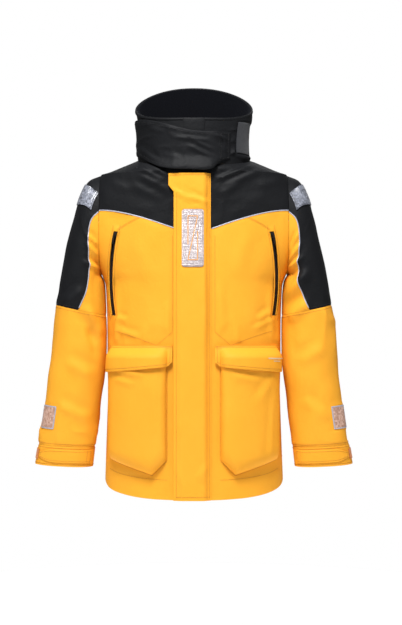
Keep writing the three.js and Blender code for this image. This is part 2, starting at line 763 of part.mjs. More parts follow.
/** Sleeve cloth between two stations and two angles, between two distances from the sleeve. */
function sleeveSheet(range, nu, nv, low, high, wrap = false) {
  const at = (room) => (u, v) => {
    const { from, to, top, bottom } = range(u, v);
    return sleevePoint(mix(from, to, u) * degree, mix(bottom, top, v), room);
  };
  return between(at(high), at(low), nu, nv, wrap);
}

/** Angle in degrees of the black panel's edge, over the station. */
const upperOutline = [[0, 79], [1, 84], [2, 92], [3, 103], [4, 111], [5, 110], [sleeveSeam, 90]];
const upperEdge = (station) => along(upperOutline, station);
const ringGap = 0.003; // half a cross seam's gap, in stations
const edgeGap = 0.2; // half a long seam's gap, in degrees

function sleeveUpper() {
  const at = (room) => (u, v) => {
    const station = mix(0, sleeveSeam - ringGap, v);
    return sleevePoint((2 * u - 1) * (upperEdge(station) - edgeGap) * degree, station, room);
  };
  return between(at(0), at(-shell), 14, 10);
}

function sleeveUnder() {
  const at = (room) => (u, v) => {
    const station = mix(0, sleeveSeam - ringGap, v);
    const edge = upperEdge(station) + edgeGap;
    return sleevePoint(mix(edge, 360 - edge, u) * degree, station, room);
  };
  return between(at(0), at(-shell), 10, 10);
}

function sleeveLower() {
  const range = () => ({ from: 0, to: 360, bottom: sleeveSeam + ringGap, top: cuffSeam - ringGap });
  return sleeveSheet(range, 24, 6, -shell, 0, true);
}

function cuffBand() {
  const range = () => ({ from: 0, to: 360, bottom: cuffSeam + ringGap, top: cuffEnd });
  return sleeveSheet(range, 24, 1, -shell, 0, true);
}

function innerCuff() {
  const start = cuffSeam - 0.4;
  const at = (room) => (u, v) => {
    const share = mix(1, innerCuffShare, ease(v));
    return sleevePoint(360 * u * degree, mix(start, cuffEnd - 0.08, v), room - (shell + lay) * (1 - v), share);
  };
  return between(at(0), at(-trim), 20, 3, true);
}

function cuffLoop() {
  const range = () => ({ from: -70, to: 30, bottom: cuffSeam + 0.12, top: cuffEnd - 0.14 });
  return sleeveSheet(range, 8, 1, lay, lay + trim);
}

const tabBaseAngle = 152;

function cuffTab() {
  const range = (u) => {
    const taper = 0.1 * ease((0.3 - u) / 0.3);
    return { from: 33, to: tabBaseAngle, bottom: cuffSeam + 0.08 + taper, top: cuffEnd - 0.1 - taper };
  };
  return sleeveSheet(range, 10, 2, lay, lay + 2);
}

function cuffPatch() {
  const range = () => ({ from: 18, to: 62, bottom: 7.62, top: 8.04 });
  return sleeveSheet(range, 4, 2, lay, lay + 1);
}

function shoulderPatch() {
  const range = (u) => {
    const off = abs(2 * u - 1) ** 1.5;
    return { from: -60, to: 60, bottom: mix(1.3, 0.08, off), top: mix(2.45, 0.98, off) };
  };
  return sleeveSheet(range, 12, 4, lay + 1.2, lay + 2.2);
}

function sleevePiping() {
  const at = (room) => (u, v) => {
    const station = mix(0.03, sleeveSeam - 0.06, v);
    const halfTurn = pipingWidth / read(sleeveDepth, station) / 2;
    return sleevePoint(upperEdge(station) * degree + (2 * u - 1) * halfTurn, station, room);
  };
  return between(at(lay + pipingRise), at(lay), 1, 12);
}

const ringAngle = -0.72; // from the front middle, towards the wearer's right
const ringZ = shoulderZ + 16;
const ringRadius = 4.6;
const ringWire = 1.1;

/** Small metal ring of the collar's adjuster, flat on the yoke beside the collar. */
function adjusterRing() {
  const ring = new THREE.TorusGeometry(ringRadius, ringWire, 6, 12);
  const at = bodyPoint(ringAngle, ringZ);
  const across = at.clone().sub(bodyPoint(ringAngle + 0.02, ringZ));
  const out = across.cross(bodyPoint(ringAngle, ringZ + 1).sub(at)).normalize();
  const facing = out.y < 0 ? out : out.negate();
  ring.applyQuaternion(new THREE.Quaternion().setFromUnitVectors(vec(0, 0, 1), facing));
  const place = at.addScaledVector(facing, ringWire + lay);
  return ring.translate(place.x, place.y, place.z);
}

// ---- Finishes and the jacket ------------------------------------------------------------------

function finish(color, roughness, metalness = 0) {
  return new THREE.MeshStandardMaterial({ color, roughness, metalness });
}

const yellow = finish(0xffb22e, 0.62);
const black = finish(0x2b2c2f, 0.7);
const reflective = finish(0xc9c6d2, 0.35);
const pile = finish(0x1e1f22, 0.95);
const loopCloth = finish(0x3a3b41, 0.9);
const zipCloth = finish(0x241d20, 0.6);
const nylon = finish(0x17171a, 0.4);
const mesh = finish(0x8d9096, 0.85);
const steel = finish(0x6c6e73, 0.35, 0.9);

const jacket = new THREE.Group();
jacket.name = 'foul_weather_jacket';

function add(name, geometry, material) {
  const piece = new THREE.Mesh(geometry, material);
  piece.name = name;
  jacket.add(piece);
}

/** The wearer's left piece as built, and the right one as its mirror image. */
function addPair(name, geometry, material) {
  add(`${name}_left`, geometry, material);
  add(`${name}_right`, mirrored(geometry), material);
}

addPair('front_panel', cut(frontPanel(), chestSlot()), yellow);
add('back_panel', backPanel(), yellow);
addPair('yoke_front', yokeFront(), black);
add('yoke_back', yokeBack(), black);
addPair('yoke_piping', yokePiping(), reflective);
add('back_lining', backLining(), mesh);
add('collar_shell', collarShell(), black);
add('collar_lining', collarLining(), pile);
add('chin_guard', chinGuard(), black);
add('collar_loop_patch', collarLoopPatch(), loopCloth);
add('face_flap', faceFlap(), black);
add('hanger_loop', hangerLoop(), nylon);
add('collar_ring', adjusterRing(), steel);
add('storm_flap', stormFlap(), yellow);
add('storm_flap_patch', stormPatch(), reflective);
add('storm_flap_hook', stormHook(), zipCloth);
add('storm_flap_loop', stormLoop(), zipCloth);
add('gutter_flap', gutterFlap(), black);
addPair('main_zip', mainZipHalf(), zipCloth);
add('main_zip_box', mainZipBox(), nylon);
add('main_zip_slider', mainSlider(), nylon);
add('main_zip_pull', mainPull(), nylon);
addPair('chest_zip_inner', chestZipHalf(-1), zipCloth);
addPair('chest_zip_outer', chestZipHalf(1), zipCloth);
addPair('chest_zip_slider', chestSlider(), nylon);
addPair('chest_zip_pull', chestPull(), nylon);
addPair('chest_pocket_bag', chestBag(), mesh);
addPair('cargo_pouch', cargoPouch(), yellow);
addPair('cargo_flap', cargoFlap(), yellow);
addPair('sleeve_upper', sleeveUpper(), black);
addPair('sleeve_under', sleeveUnder(), yellow);
addPair('sleeve_lower', sleeveLower(), yellow);
addPair('sleeve_piping', sleevePiping(), reflective);
addPair('shoulder_patch', shoulderPatch(), reflective);
addPair('cuff_patch', cuffPatch(), reflective);
addPair('cuff_band', cuffBand(), yellow);
addPair('cuff_loop', cuffLoop(), yellow);
addPair('cuff_tab', cuffTab(), yellow);
addPair('inner_cuff', innerCuff(), black);

export default jacket;
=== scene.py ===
"""Looks of a foul weather jacket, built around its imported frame.

Sizes are in millimetres in the jacket's own frame (+Z up, the front faces -Y, +X is the wearer's left,
origin on the wearer's shoulders) until a mesh is made, which is in metres.
"""

import json
import logging
import math
from collections.abc import Iterable, Sequence
from dataclasses import dataclass
from enum import Enum

import bmesh
import bpy
import numpy as np
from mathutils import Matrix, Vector


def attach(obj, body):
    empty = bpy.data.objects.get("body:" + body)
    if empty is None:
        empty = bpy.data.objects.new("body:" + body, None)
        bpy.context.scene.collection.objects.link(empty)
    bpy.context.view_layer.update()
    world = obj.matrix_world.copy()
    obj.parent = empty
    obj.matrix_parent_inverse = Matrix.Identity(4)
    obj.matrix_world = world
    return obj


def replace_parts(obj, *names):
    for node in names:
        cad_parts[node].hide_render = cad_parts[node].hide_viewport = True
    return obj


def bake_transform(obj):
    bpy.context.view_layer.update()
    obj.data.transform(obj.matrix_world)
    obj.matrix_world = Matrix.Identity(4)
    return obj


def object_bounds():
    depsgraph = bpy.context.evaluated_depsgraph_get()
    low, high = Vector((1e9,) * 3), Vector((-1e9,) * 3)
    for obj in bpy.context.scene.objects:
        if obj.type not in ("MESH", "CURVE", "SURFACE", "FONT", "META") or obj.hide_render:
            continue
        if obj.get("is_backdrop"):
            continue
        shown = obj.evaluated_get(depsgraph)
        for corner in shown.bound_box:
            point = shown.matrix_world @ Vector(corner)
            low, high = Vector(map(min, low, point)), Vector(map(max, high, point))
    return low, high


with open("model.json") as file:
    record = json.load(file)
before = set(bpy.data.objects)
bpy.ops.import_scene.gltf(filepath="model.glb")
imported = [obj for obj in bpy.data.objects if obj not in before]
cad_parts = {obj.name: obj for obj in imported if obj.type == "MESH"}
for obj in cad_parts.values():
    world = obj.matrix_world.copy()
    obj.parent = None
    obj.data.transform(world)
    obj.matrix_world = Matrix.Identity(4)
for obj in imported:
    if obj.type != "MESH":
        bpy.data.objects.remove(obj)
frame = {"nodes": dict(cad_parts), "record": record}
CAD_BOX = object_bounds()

MM = 0.001
DEGREE = math.pi / 180
SLOT_HALF = 7.0  # half the width of a chest zip's slot
STANDARD_GAIN = 1.6  # how much stronger than their own heights folds are drawn
CLOTH_UV = "Cloth"  # UV map in metres along the cloth, so that a weave keeps its real size
LIE = "lie"  # attribute with the direction in which a repeated piece lies
SHELL = 3.0  # shell cloth with its membrane and backing
LINING_GAP = 1.3  # from the collar's shell to its fleece
LAY = 0.6  # from a piece to what it lies on
SEAM_GAP = 0.5  # between two panels at their seam
SEAM_TURN = 0.0012  # the same gap at the armhole, in radians round the body
WHITE = (1.0, 1.0, 1.0, 1.0)
CHEST = np.array([0, 0, -120.0])  # a place inside the body, which the yokes face away from
BELLY = np.array([0, 0, -400.0])  # the same for the storm flap
AHEAD = np.array([0.0, -1.0, 0.0])  # the way the front faces
TABLE = 64  # values each way in a swell's seeded table
Grid = np.ndarray
Pairs = Sequence[tuple[float, float]]

log = logging.getLogger("jacket")


class Side(Enum):
    """A side of the wearer, with the sign of its X."""

    LEFT = 1
    RIGHT = -1

    @property
    def label(self) -> str:
        """The side's name as the frame's nodes end in it."""
        return self.name.lower()


# ---- Numbers -----------------------------------------------------------------------------------


def mix(a: Grid | float, b: Grid | float, share: Grid | float) -> Grid | float:
    """Value between a and b at a share of the way."""
    return a + (b - a) * share


def window(value: Grid, low: float, rise: float, high: float, fall: float) -> Grid:
    """1 between two values, with a smooth rise after the first and a smooth fall before the other."""
    return ease((value - low) / rise) * ease((high - value) / fall)


def banded(place: Grid, *marks: Grid | float) -> Grid:
    """Value at a place from 0 to 3 that runs straight from each of four marks to the next."""
    a, b, c, d = marks
    past_first = np.where(place <= 2, mix(b, c, place - 1), mix(c, d, place - 2))
    return np.where(place <= 1, mix(a, b, place), past_first)


def ease(share: Grid | float) -> Grid | float:
    """Smooth step from 0 to 1, level outside them."""
    t = np.clip(share, 0, 1)
    return t * t * (3 - 2 * t)


def rounded(share: Grid) -> Grid:
    """Height of a rounded edge, from 0 where it starts to 1 at a share of 1 and past it."""
    return np.sqrt(np.clip(1 - (1 - np.clip(share, 0, 1)) ** 2, 0, 1))


def signed_power(value: Grid, power: float) -> Grid:
    """Power of a value's size, with the value's sign."""
    return np.sign(value) * np.abs(value) ** power


def along(stations: Pairs, place: Grid | float) -> Grid:
    """Smooth curve through stations, level past its ends.

    Args:
        stations: Pairs of place and value, in rising places.
        place: Where to read the curve.

    Returns:
        The curve's value at each place.
    """
    xs, ys = (np.array(column, float) for column in zip(*stations))
    last = len(xs) - 1
    count = np.arange(last + 1)
    before, after = np.maximum(count - 1, 0), np.minimum(count + 1, last)
    slope = (ys[after] - ys[before]) / (xs[after] - xs[before])
    at = np.clip(place, xs[0], xs[-1])
    i = np.clip(np.searchsorted(xs, at) - 1, 0, last - 1)
    span = xs[i + 1] - xs[i]
    t = (at - xs[i]) / span
    bend = slope[i] * t * (1 - t) ** 2 - slope[i + 1] * t * t * (1 - t)
    return mix(ys[i], ys[i + 1], t * t * (3 - 2 * t)) + span * bend


def graded(count: int, edge: float = 0.0) -> Grid:
    """Shares from 0 to 1 with a few close ones beside each end, where a cloth's edge rounds off.

    Args:
        count: Steps in the middle.
        edge: Share of the whole that the close steps take, or 0 for none.
    """
    if not edge:
        return np.linspace(0, 1, count + 1)
    close = np.array([0, 0.12, 0.4, 1]) * edge
    return np.concatenate([close[:-1], np.linspace(edge, 1 - edge, count - 1), 1 - close[-2::-1]])


def unit(vectors: Grid) -> Grid:
    """Vectors at a length of 1."""
    return vectors / np.maximum(np.linalg.norm(vectors, axis=-1, keepdims=True), 1e-9)


def level(points: Grid) -> Grid:
    """The same places moved level onto the jacket's upright axis, which cloth faces away from."""
    return points * np.array([0, 0, 1])


def spread(points: Grid) -> Grid:
    """Level unit vectors from the upright axis towards places."""
    return unit(points * np.array([1, 1, 0]))


def stack(x: Grid, y: Grid, z: Grid) -> Grid:
    """Points from their three coordinates."""
    return np.stack(np.broadcast_arrays(x, y, z), axis=-1)


@dataclass(frozen=True)
class Swell:
    """Seeded smooth unevenness of a cloth over its own plane.

    Attributes:
        seed: Number that picks the pattern.
        length: Distance across between swells.
        reach: The same distance lengthwise.
    """

    seed: int
    length: float
    reach: float

    def at(self, across: Grid, lengthwise: Grid) -> Grid:
        """Height from -1 to 1 at places on the cloth."""
        table = np.random.default_rng(self.seed).uniform(-1, 1, (TABLE, TABLE))
        x, y = across / self.length + 17.3, lengthwise / self.reach + 29.1
        i, j = np.floor(x).astype(int), np.floor(y).astype(int)
        s, t = ease(x - i), ease(y - j)
        here, ahead = i % TABLE, (i + 1) % TABLE
        low, high = (mix(table[here, row % TABLE], table[ahead, row % TABLE], s) for row in (j, j + 1))
        return mix(low, high, t)

    def creases(self, across: Grid, lengthwise: Grid) -> Grid:
        """Height from 0 to 1 with narrow crests, as in cloth that was crushed and let go."""
        wide = Swell(self.seed + 50, 1.7 * self.length, 1.7 * self.reach)
        bent = 0.35 * self.length * wide.at(across, lengthwise)
        return (1 - np.abs(self.at(across + bent, lengthwise - bent))) ** 3


@dataclass(frozen=True)
class Fold:
    """One fold of the cloth: a crest with a hollow under it.

    Attributes:
        start: Where it starts, in the plane that its owner reads it in.
        end: Where it ends.
        height: Height of its crest, or depth of a crease if negative.
        width: Half width of the crest.
    """

    start: tuple[float, float]
    end: tuple[float, float]
    height: float
    width: float

    def at(self, a: Grid, b: Grid) -> Grid:
        """Height of the fold at places in the plane."""
        (a0, b0), (a1, b1) = self.start, self.end
        length = math.hypot(a1 - a0, b1 - b0)
        da, db = (a1 - a0) / length, (b1 - b0) / length
        run = ((a - a0) * da + (b - b0) * db) / length
        off = ((a - a0) * -db + (b - b0) * da) / self.width
        fade = ease((run + 0.25) / 0.5) * ease((1.25 - run) / 0.5)
        return self.height * fade * (np.exp(-off * off) - 0.55 * np.exp(-((off - 1.7) ** 2)))


def folded(folds: Iterable[Fold], a: Grid, b: Grid, gain: float = STANDARD_GAIN) -> Grid:
    """Height of several folds together, times a gain."""
    return gain * sum((fold.at(a, b) for fold in folds), np.zeros(np.broadcast(a, b).shape))


# ---- Meshes ------------------------------------------------------------------------------------


def add_object(name: str, data: bpy.types.ID) -> bpy.types.Object:
    """Puts one object with its data into the scene."""
    made = bpy.data.objects.new(name, data)
    bpy.context.scene.collection.objects.link(made)
    return made


def shade(mesh: bpy.types.Mesh, smooth: bool = True) -> None:
    """Shades every face of a mesh smooth or flat."""
    mesh.polygons.foreach_set("use_smooth", np.full(len(mesh.polygons), smooth))


def make_object(name: str, points: Grid, faces: list, uv: Grid | None = None,
                sharp: float = 38.0) -> bpy.types.Object:
    """One object at the origin from points in millimetres.

    Args:
        name: The piece's name.
        points: Places of its vertices.
        faces: Vertex numbers of each face.
        uv: Place on the cloth of each face corner, in metres, or None.
        sharp: Angle in degrees past which an edge stays sharp.
    """
    mesh = bpy.data.meshes.new(name)
    mesh.from_pydata((np.asarray(points, float) * MM).tolist(), [], faces)
    if uv is not None:
        mesh.uv_layers.new(name=CLOTH_UV).data.foreach_set("uv", np.asarray(uv, np.float32).ravel())
    shade(mesh)
    mesh.update()
    mesh.set_sharp_from_angle(angle=sharp * DEGREE)
    return add_object(name, mesh)


def normals_of(points: Grid, inside: Grid, wrap: bool = False) -> Grid:
    """Normals of a grid that point away from the places inside it."""
    if wrap:
        across = np.roll(points, -1, axis=1) - np.roll(points, 1, axis=1)
    else:
        across = np.gradient(points, axis=1)
    normal = unit(np.cross(across, np.gradient(points, axis=0)))
    return normal * np.sign(np.sum(normal * (points - inside)))


def cloth_lengths(points: Grid, wrap: bool) -> Grid:
    """Place of each grid point on the cloth in metres, one column more where the grid closes."""
    ring = np.concatenate([points, points[:, :1]], axis=1) if wrap else points
    across = np.linalg.norm(np.diff(ring, axis=1), axis=2).mean(axis=0)
    lengthwise = np.linalg.norm(np.diff(ring, axis=0), axis=2).mean(axis=1)
    u = np.concatenate([[0], np.cumsum(across)]) * MM
    v = np.concatenate([[0], np.cumsum(lengthwise)]) * MM
    return np.stack(np.meshgrid(u, v), axis=-1)


def closed_cloth(name: str, outer: Grid, inner: Grid, wrap: bool = False,
                 keep: Grid | None = None) -> bpy.types.Object:
    """Closed body between two grids of the same shape.

    Args:
        name: The piece's name.
        outer: Grid of the outer face, rows by columns by 3.
        inner: Grid of the inner face.
        wrap: True if the last column joins the first.
        keep: Which cells are cloth, or None for all.
    """
    rows, columns = outer.shape[:2]
    cells = columns if wrap else columns - 1
    index = np.arange(rows * columns).reshape(rows, columns)
    beside = np.roll(index, -1, axis=1)
    quads = np.stack([index[:-1], beside[:-1], beside[1:], index[1:]], axis=-1)[:, :cells]
    place = cloth_lengths(outer, wrap)
    uv = np.stack([place[:-1, :-1], place[:-1, 1:], place[1:, 1:], place[1:, :-1]], axis=2)
    chosen = np.ones(quads.shape[:2], bool) if keep is None else keep
    quads, uv = quads[chosen], uv[chosen]
    total = rows * columns
    starts, ends = quads.ravel(), np.roll(quads, -1, axis=1).ravel()
    edge_uv = np.stack([uv.reshape(-1, 2), np.roll(uv, -1, axis=1).reshape(-1, 2)], axis=1)
    rim = ~np.isin(starts * total + ends, ends * total + starts)
    a, b = starts[rim], ends[rim]
    walls = np.stack([b, a, a + total, b + total], axis=1)
    wall_uv = edge_uv[rim][:, [1, 0, 0, 1]]
    faces = np.concatenate([quads, quads[:, ::-1] + total, walls])
    corners = np.concatenate([uv, uv[:, ::-1], wall_uv])
    points = np.concatenate([outer.reshape(-1, 3), inner.reshape(-1, 3)])
    p = points[faces]
    volume = np.sum(p[:, 0] * (np.cross(p[:, 1], p[:, 2]) + np.cross(p[:, 2], p[:, 3])))
    if volume < 0:
        faces, corners = faces[:, ::-1], corners[:, ::-1]
    used, again = np.unique(faces, return_inverse=True)
    return make_object(name, points[used], again.reshape(faces.shape).tolist(), corners)


@dataclass
class Sheet:
    """A grid of cloth that takes relief and then a thickness.

    Attributes:
        points: Grid on the surface that it is cut to.
        inside: Places that its normals point away from, or None for the upright axis.
        wrap: True if it closes on itself.
        least: Share of the thickness that stays at a rounded edge.
    """

    points: Grid
    inside: Grid | None = None
    wrap: bool = False
    least: float = 0.12

    def __post_init__(self) -> None:
        """Works out the normals once, before any relief."""
        inside = level(self.points) if self.inside is None else self.inside
        self.normal = normals_of(self.points, inside, self.wrap)

    def raised(self, height: Grid | float) -> Grid:
        """The grid's places at a height over the surface."""
        lift = np.broadcast_to(np.asarray(height, float), self.points.shape[:2])
        return self.points + self.normal * lift[..., None]

    @staticmethod
    def edge_round(u: Grid, v: Grid, radius_u: float, radius_v: float) -> Grid:
        """How much of the half thickness is left beside the free edges, from 0 at an edge to 1."""
        return rounded(np.minimum(u, 1 - u) / radius_u) * rounded(np.minimum(v, 1 - v) / radius_v)

    def solid(self, name: str, low: Grid | float, high: Grid | float, relief: Grid | float = 0.0,
              rounding: Grid | float = 1.0, keep: Grid | None = None,
              side: Side = Side.LEFT) -> bpy.types.Object:
        """Closed cloth between two heights over the surface.

        Args:
            name: The piece's name.
            low: Height of the inner face.
            high: Height of the outer face.
            relief: Folds and swells, which both faces follow.
            rounding: Share of the thickness that is left, as edge_round gives it.
            keep: Which cells are cloth, or None for all.
            side: The side of the wearer; the right one is the mirror image.
        """
        middle, half = (np.asarray(low) + high) / 2, (np.asarray(high) - low) / 2
        scale = mix(self.least, 1, np.asarray(rounding))
        outer = self.raised(middle + half * scale + relief)
        inner = self.raised(middle - half * scale + relief)
        return closed_cloth(name, swapped(outer, side), swapped(inner, side), self.wrap, keep)


def tube(name: str, rings: Grid, closed: bool = False, sharp: float = 38.0) -> bpy.types.Object:
    """Solid over rings of points, each joined to the next.

    Args:
        name: The piece's name.
        rings: Rings by points by 3.
        closed: True if the last ring joins the first, and False if both get an end face.
        sharp: Angle in degrees past which an edge stays sharp.
    """
    steps, count = rings.shape[:2]
    faces = []
    for k in range(steps if closed else steps - 1):
        here, ahead = k * count, (k + 1) % steps * count
        for i in range(count):
            beside = (i + 1) % count
            faces.append([here + i, here + beside, ahead + beside, ahead + i])
    if not closed:
        faces += [list(range(count))[::-1], [(steps - 1) * count + i for i in range(count)]]
    made = make_object(name, rings.reshape(-1, 3), faces, sharp=sharp)
    work = bmesh.new()
    work.from_mesh(made.data)
    bmesh.ops.recalc_face_normals(work, faces=work.faces)
    work.to_mesh(made.data)
    work.free()
    made.data.uv_layers.new(name=CLOTH_UV)
    made.data.update()
    return made


def ribbon(name: str, path: Grid, across: Grid, out: Grid, half_width: float, height: float,
           foot: float = 0.0, closed: bool = False, side: Side = Side.LEFT) -> bpy.types.Object:
    """Domed strip that lies along a path, such as piping, tape or a printed line.

    Args:
        name: The piece's name.
        path: Places along its middle, on the surface it lies on.
        across: Unit vectors across it, one per place.
        out: Unit vectors away from the surface, one per place.
        half_width: Half its width.
        height: Height of its dome over the foot.
        foot: Height of its foot over the path.
        closed: True if its end joins its start.
        side: The side of the wearer; the right one is the mirror image.
    """
    turn = np.linspace(0, math.pi, 7)
    section = [(half_width * math.cos(t), foot + height * math.sin(t) ** 0.7) for t in turn]
    section += [(half_width * math.cos(t) * 0.98, foot - 0.01) for t in turn[::-1]]
    rings = np.stack([path + across * s + out * h for s, h in section], axis=1)
    made = tube(name, swapped(rings, side), closed, 50)
    lengths = np.concatenate([[0], np.cumsum(np.linalg.norm(np.diff(path, axis=0), axis=1))]) * MM
    vertex = np.array([loop.vertex_index for loop in made.data.loops])
    count = len(section)
    uv = np.stack([(vertex % count) / count * half_width * 2 * MM, lengths[vertex // count]], axis=1)
    made.data.uv_layers[CLOTH_UV].data.foreach_set("uv", uv.astype(np.float32).ravel())
    return made


def beside_path(path: Grid, out: Grid) -> Grid:
    """Vectors across a path that lies on a surface, nearly of unit length.

    Args:
        path: Places along the path.
        out: Unit vectors away from the surface, one per place or one for all.
    """
    return np.cross(unit(np.gradient(path, axis=0)), out)


def flattened(piece: bpy.types.Object) -> bpy.types.Object:
    """Turns a piece's modifiers into a plain mesh of its own."""
    plain = bpy.data.meshes.new_from_object(piece.evaluated_get(bpy.context.evaluated_depsgraph_get()))
    piece.modifiers.clear()
    piece.data = plain
    plain.name = piece.name
    return piece


def softened(node: str, bevel: float, name: str) -> bpy.types.Object:
    """Copy of a moulded CAD piece with its edges rounded, as it comes out of the mould.

    Args:
        node: The CAD node that it stands for.
        bevel: Width of the rounding.
        name: The piece's name.
    """
    work = bmesh.new()
    work.from_mesh(frame["nodes"][node].data)
    bmesh.ops.remove_doubles(work, verts=work.verts, dist=1e-5)
    bmesh.ops.dissolve_limit(work, angle_limit=1 * DEGREE, verts=work.verts, edges=work.edges)
    mesh = bpy.data.meshes.new(name)
    work.to_mesh(mesh)
    work.free()
    made = add_object(name, mesh)
    rounding = made.modifiers.new("rounding", "BEVEL")
    rounding.width = bevel * MM
    rounding.segments = 2
    rounding.limit_method = "ANGLE"
    shade(mesh)
    flattened(made).data.set_sharp_from_angle(angle=30 * DEGREE)
    return made


# ---- Finishes ----------------------------------------------------------------------------------


def linear(colour: str) -> tuple[float, float, float, float]:
    """Linear colour of an sRGB hex value."""
    parts = [int(colour[i:i + 2], 16) / 255 for i in (1, 3, 5)]
    return (*(c / 12.92 if c <= 0.04045 else ((c + 0.055) / 1.055) ** 2.4 for c in parts), 1.0)


def add_node(tree: bpy.types.NodeTree, kind: str, inputs: dict | None = None, **settings) -> bpy.types.Node:
    """Adds one node with its settings.

    Args:
        tree: The tree that it goes into.
        kind: The node's type name.
        inputs: Value or linked socket of each input, by name or number.
        settings: The node's own properties.

    Returns:
        The node.
    """
    node = tree.nodes.new(kind)
    for name, value in settings.items():
        setattr(node, name, value)
    for key, value in (inputs or {}).items():
        if isinstance(value, bpy.types.NodeSocket):
            tree.links.new(value, node.inputs[key])
        else:
            node.inputs[key].default_value = value
    return node


def band_scale(period: float) -> float:
    """Scale of a Wave texture whose bands are a period in millimetres apart on coordinates in metres."""
    return 2 * math.pi / 20 / (period * MM)


def spot_scale(size: float) -> float:
    """Scale of a Noise or Voronoi texture whose spots are a size in millimetres across."""
    return 1 / (size * MM)


@dataclass(frozen=True)
class Finish:
    """A named finish; each kind builds its own material once."""

    name: str
    colour: str

    def material(self) -> bpy.types.Material:
        """The finish's material, made at its first use."""
        found = bpy.data.materials.get(self.name)
        if found:
            return found
        made = bpy.data.materials.new(self.name)
        made.use_nodes = True
        made.diffuse_color = linear(self.colour)
        surface = made.node_tree.nodes["Principled BSDF"]
        surface.inputs["Base Color"].default_value = linear(self.colour)
        self.dress(Surface(made.node_tree, surface))
        return made

    def dress(self, face: "Surface") -> None:
        """Sets the surface up; a plain finish only has its colour."""


@dataclass
class Surface:
    """A material's surface shader, with what all the finishes do to it."""

    tree: bpy.types.NodeTree
    shader: bpy.types.Node

    @property
    def cloth(self) -> bpy.types.NodeSocket:
        """Coordinates along the cloth, in metres."""
        return add_node(self.tree, "ShaderNodeUVMap", uv_map=CLOTH_UV).outputs["UV"]

    @property
    def place(self) -> bpy.types.NodeSocket:
        """Coordinates in the jacket's frame, in metres."""
        return add_node(self.tree, "ShaderNodeTexCoord").outputs["Object"]

    def noise(self, size: float, detail: float, **more: float) -> bpy.types.NodeSocket:
        """Noise whose spots are a size in millimetres across."""
        inputs = {"Vector": self.place, "Scale": spot_scale(size), "Detail": detail, **more}
        return add_node(self.tree, "ShaderNodeTexNoise", inputs).outputs["Fac"]

    def ranged(self, share: bpy.types.NodeSocket, numbers: dict[int, float]) -> bpy.types.NodeSocket:
        """A share brought to another range, by the Map Range node's inputs."""
        return add_node(self.tree, "ShaderNodeMapRange", {0: share, **numbers}).outputs[0]

    def product(self, a: bpy.types.NodeSocket, b: bpy.types.NodeSocket) -> bpy.types.NodeSocket:
        """Two values multiplied."""
        return add_node(self.tree, "ShaderNodeMath", {0: a, 1: b}, operation="MULTIPLY").outputs[0]

    def tint(self, share: bpy.types.NodeSocket, first: tuple, last: tuple) -> None:
        """Colours the surface between two linear colours at a share."""
        colour = add_node(self.tree, "ShaderNodeMix", {0: share, 6: first, 7: last}, data_type="RGBA")
        self.tree.links.new(colour.outputs[2], self.shader.inputs["Base Color"])

    def roughen(self, share: bpy.types.NodeSocket, least: float, most: float) -> None:
        """Makes the surface's roughness follow a share."""
        self.tree.links.new(self.ranged(share, {3: least, 4: most}), self.shader.inputs["Roughness"])

    def emboss(self, height: bpy.types.NodeSocket, depth: float, strength: float = 1.0,
               under: bpy.types.NodeSocket | None = None) -> bpy.types.NodeSocket:
        """Bump of a depth in millimetres, over another one if given."""
        inputs = {"Height": height, "Distance": depth * MM, "Strength": strength}
        if under:
            inputs["Normal"] = under
        normal = add_node(self.tree, "ShaderNodeBump", inputs).outputs[0]
        self.tree.links.new(normal, self.shader.inputs["Normal"])
        return normal

    def settle(self, levels: dict[str, float | tuple]) -> None:
        """Sets plain inputs of the shader."""
        for name, value in levels.items():
            self.shader.inputs[name].default_value = value


@dataclass(frozen=True)
class ShellCloth(Finish):
    """Coated nylon shell, plain woven: dry and nearly matt, with a fine even grain and soft handling creases.

    Attributes:
        shade: Colour of the slightly darker cloudy parts.
        roughness: Of the coated face.
        thread: Spacing of the weave's threads, drawn about three times as coarse as real, so that it shows.
        crinkle: Size of the handling creases.
        crinkle_depth: Their depth.
        gloss: Level of the face's plain reflection.
    """

    shade: str = "#000000"
    roughness: float = 0.6
    thread: float = 1.5
    crinkle: float = 16.0
    crinkle_depth: float = 0.35
    gloss: float = 0.2

    def dress(self, face: Surface) -> None:
        """Weave and creases as bump, cloudy colour, coated roughness."""
        warp, weft = (
            add_node(face.tree, "ShaderNodeTexWave",
                     {"Vector": face.cloth, "Scale": band_scale(self.thread), "Distortion": 0.3,
                      "Detail": 1.0},
                     bands_direction=way).outputs["Fac"]
            for way in ("X", "Y")
        )
        crinkle = face.noise(self.crinkle, 4.0, Roughness=0.55, Distortion=0.6)
        clouds = face.noise(90, 3.0)
        face.tint(clouds, linear(self.colour), linear(self.shade))
        face.roughen(clouds, self.roughness - 0.05, self.roughness + 0.07)
        soft = face.emboss(crinkle, self.crinkle_depth)
        face.emboss(face.product(warp, weft), 0.05, 0.6, soft)
        face.settle({"IOR": 1.45, "Specular IOR Level": self.gloss})


@dataclass(frozen=True)
class Fleece(Finish):
    """Knitted polyester pile: very dark, with a soft sheen at grazing angles and clumped short fibres.

    Attributes:
        pile: Size of the fibres' clumps, drawn coarse enough to show.
    """

    pile: float = 2.6

    def dress(self, face: Surface) -> None:
        """Clumps as bump and as small changes of colour."""
        clumps = face.noise(self.pile, 3.0, Roughness=0.7)
        face.tint(clumps, linear("#040507"), linear(self.colour))
        face.emboss(clumps, 0.7)
        face.settle({"Roughness": 0.95, "Specular IOR Level": 0.1, "Sheen Weight": 0.04,
                     "Sheen Roughness": 0.6,
                     "Sheen Tint": linear("#5A6072")})


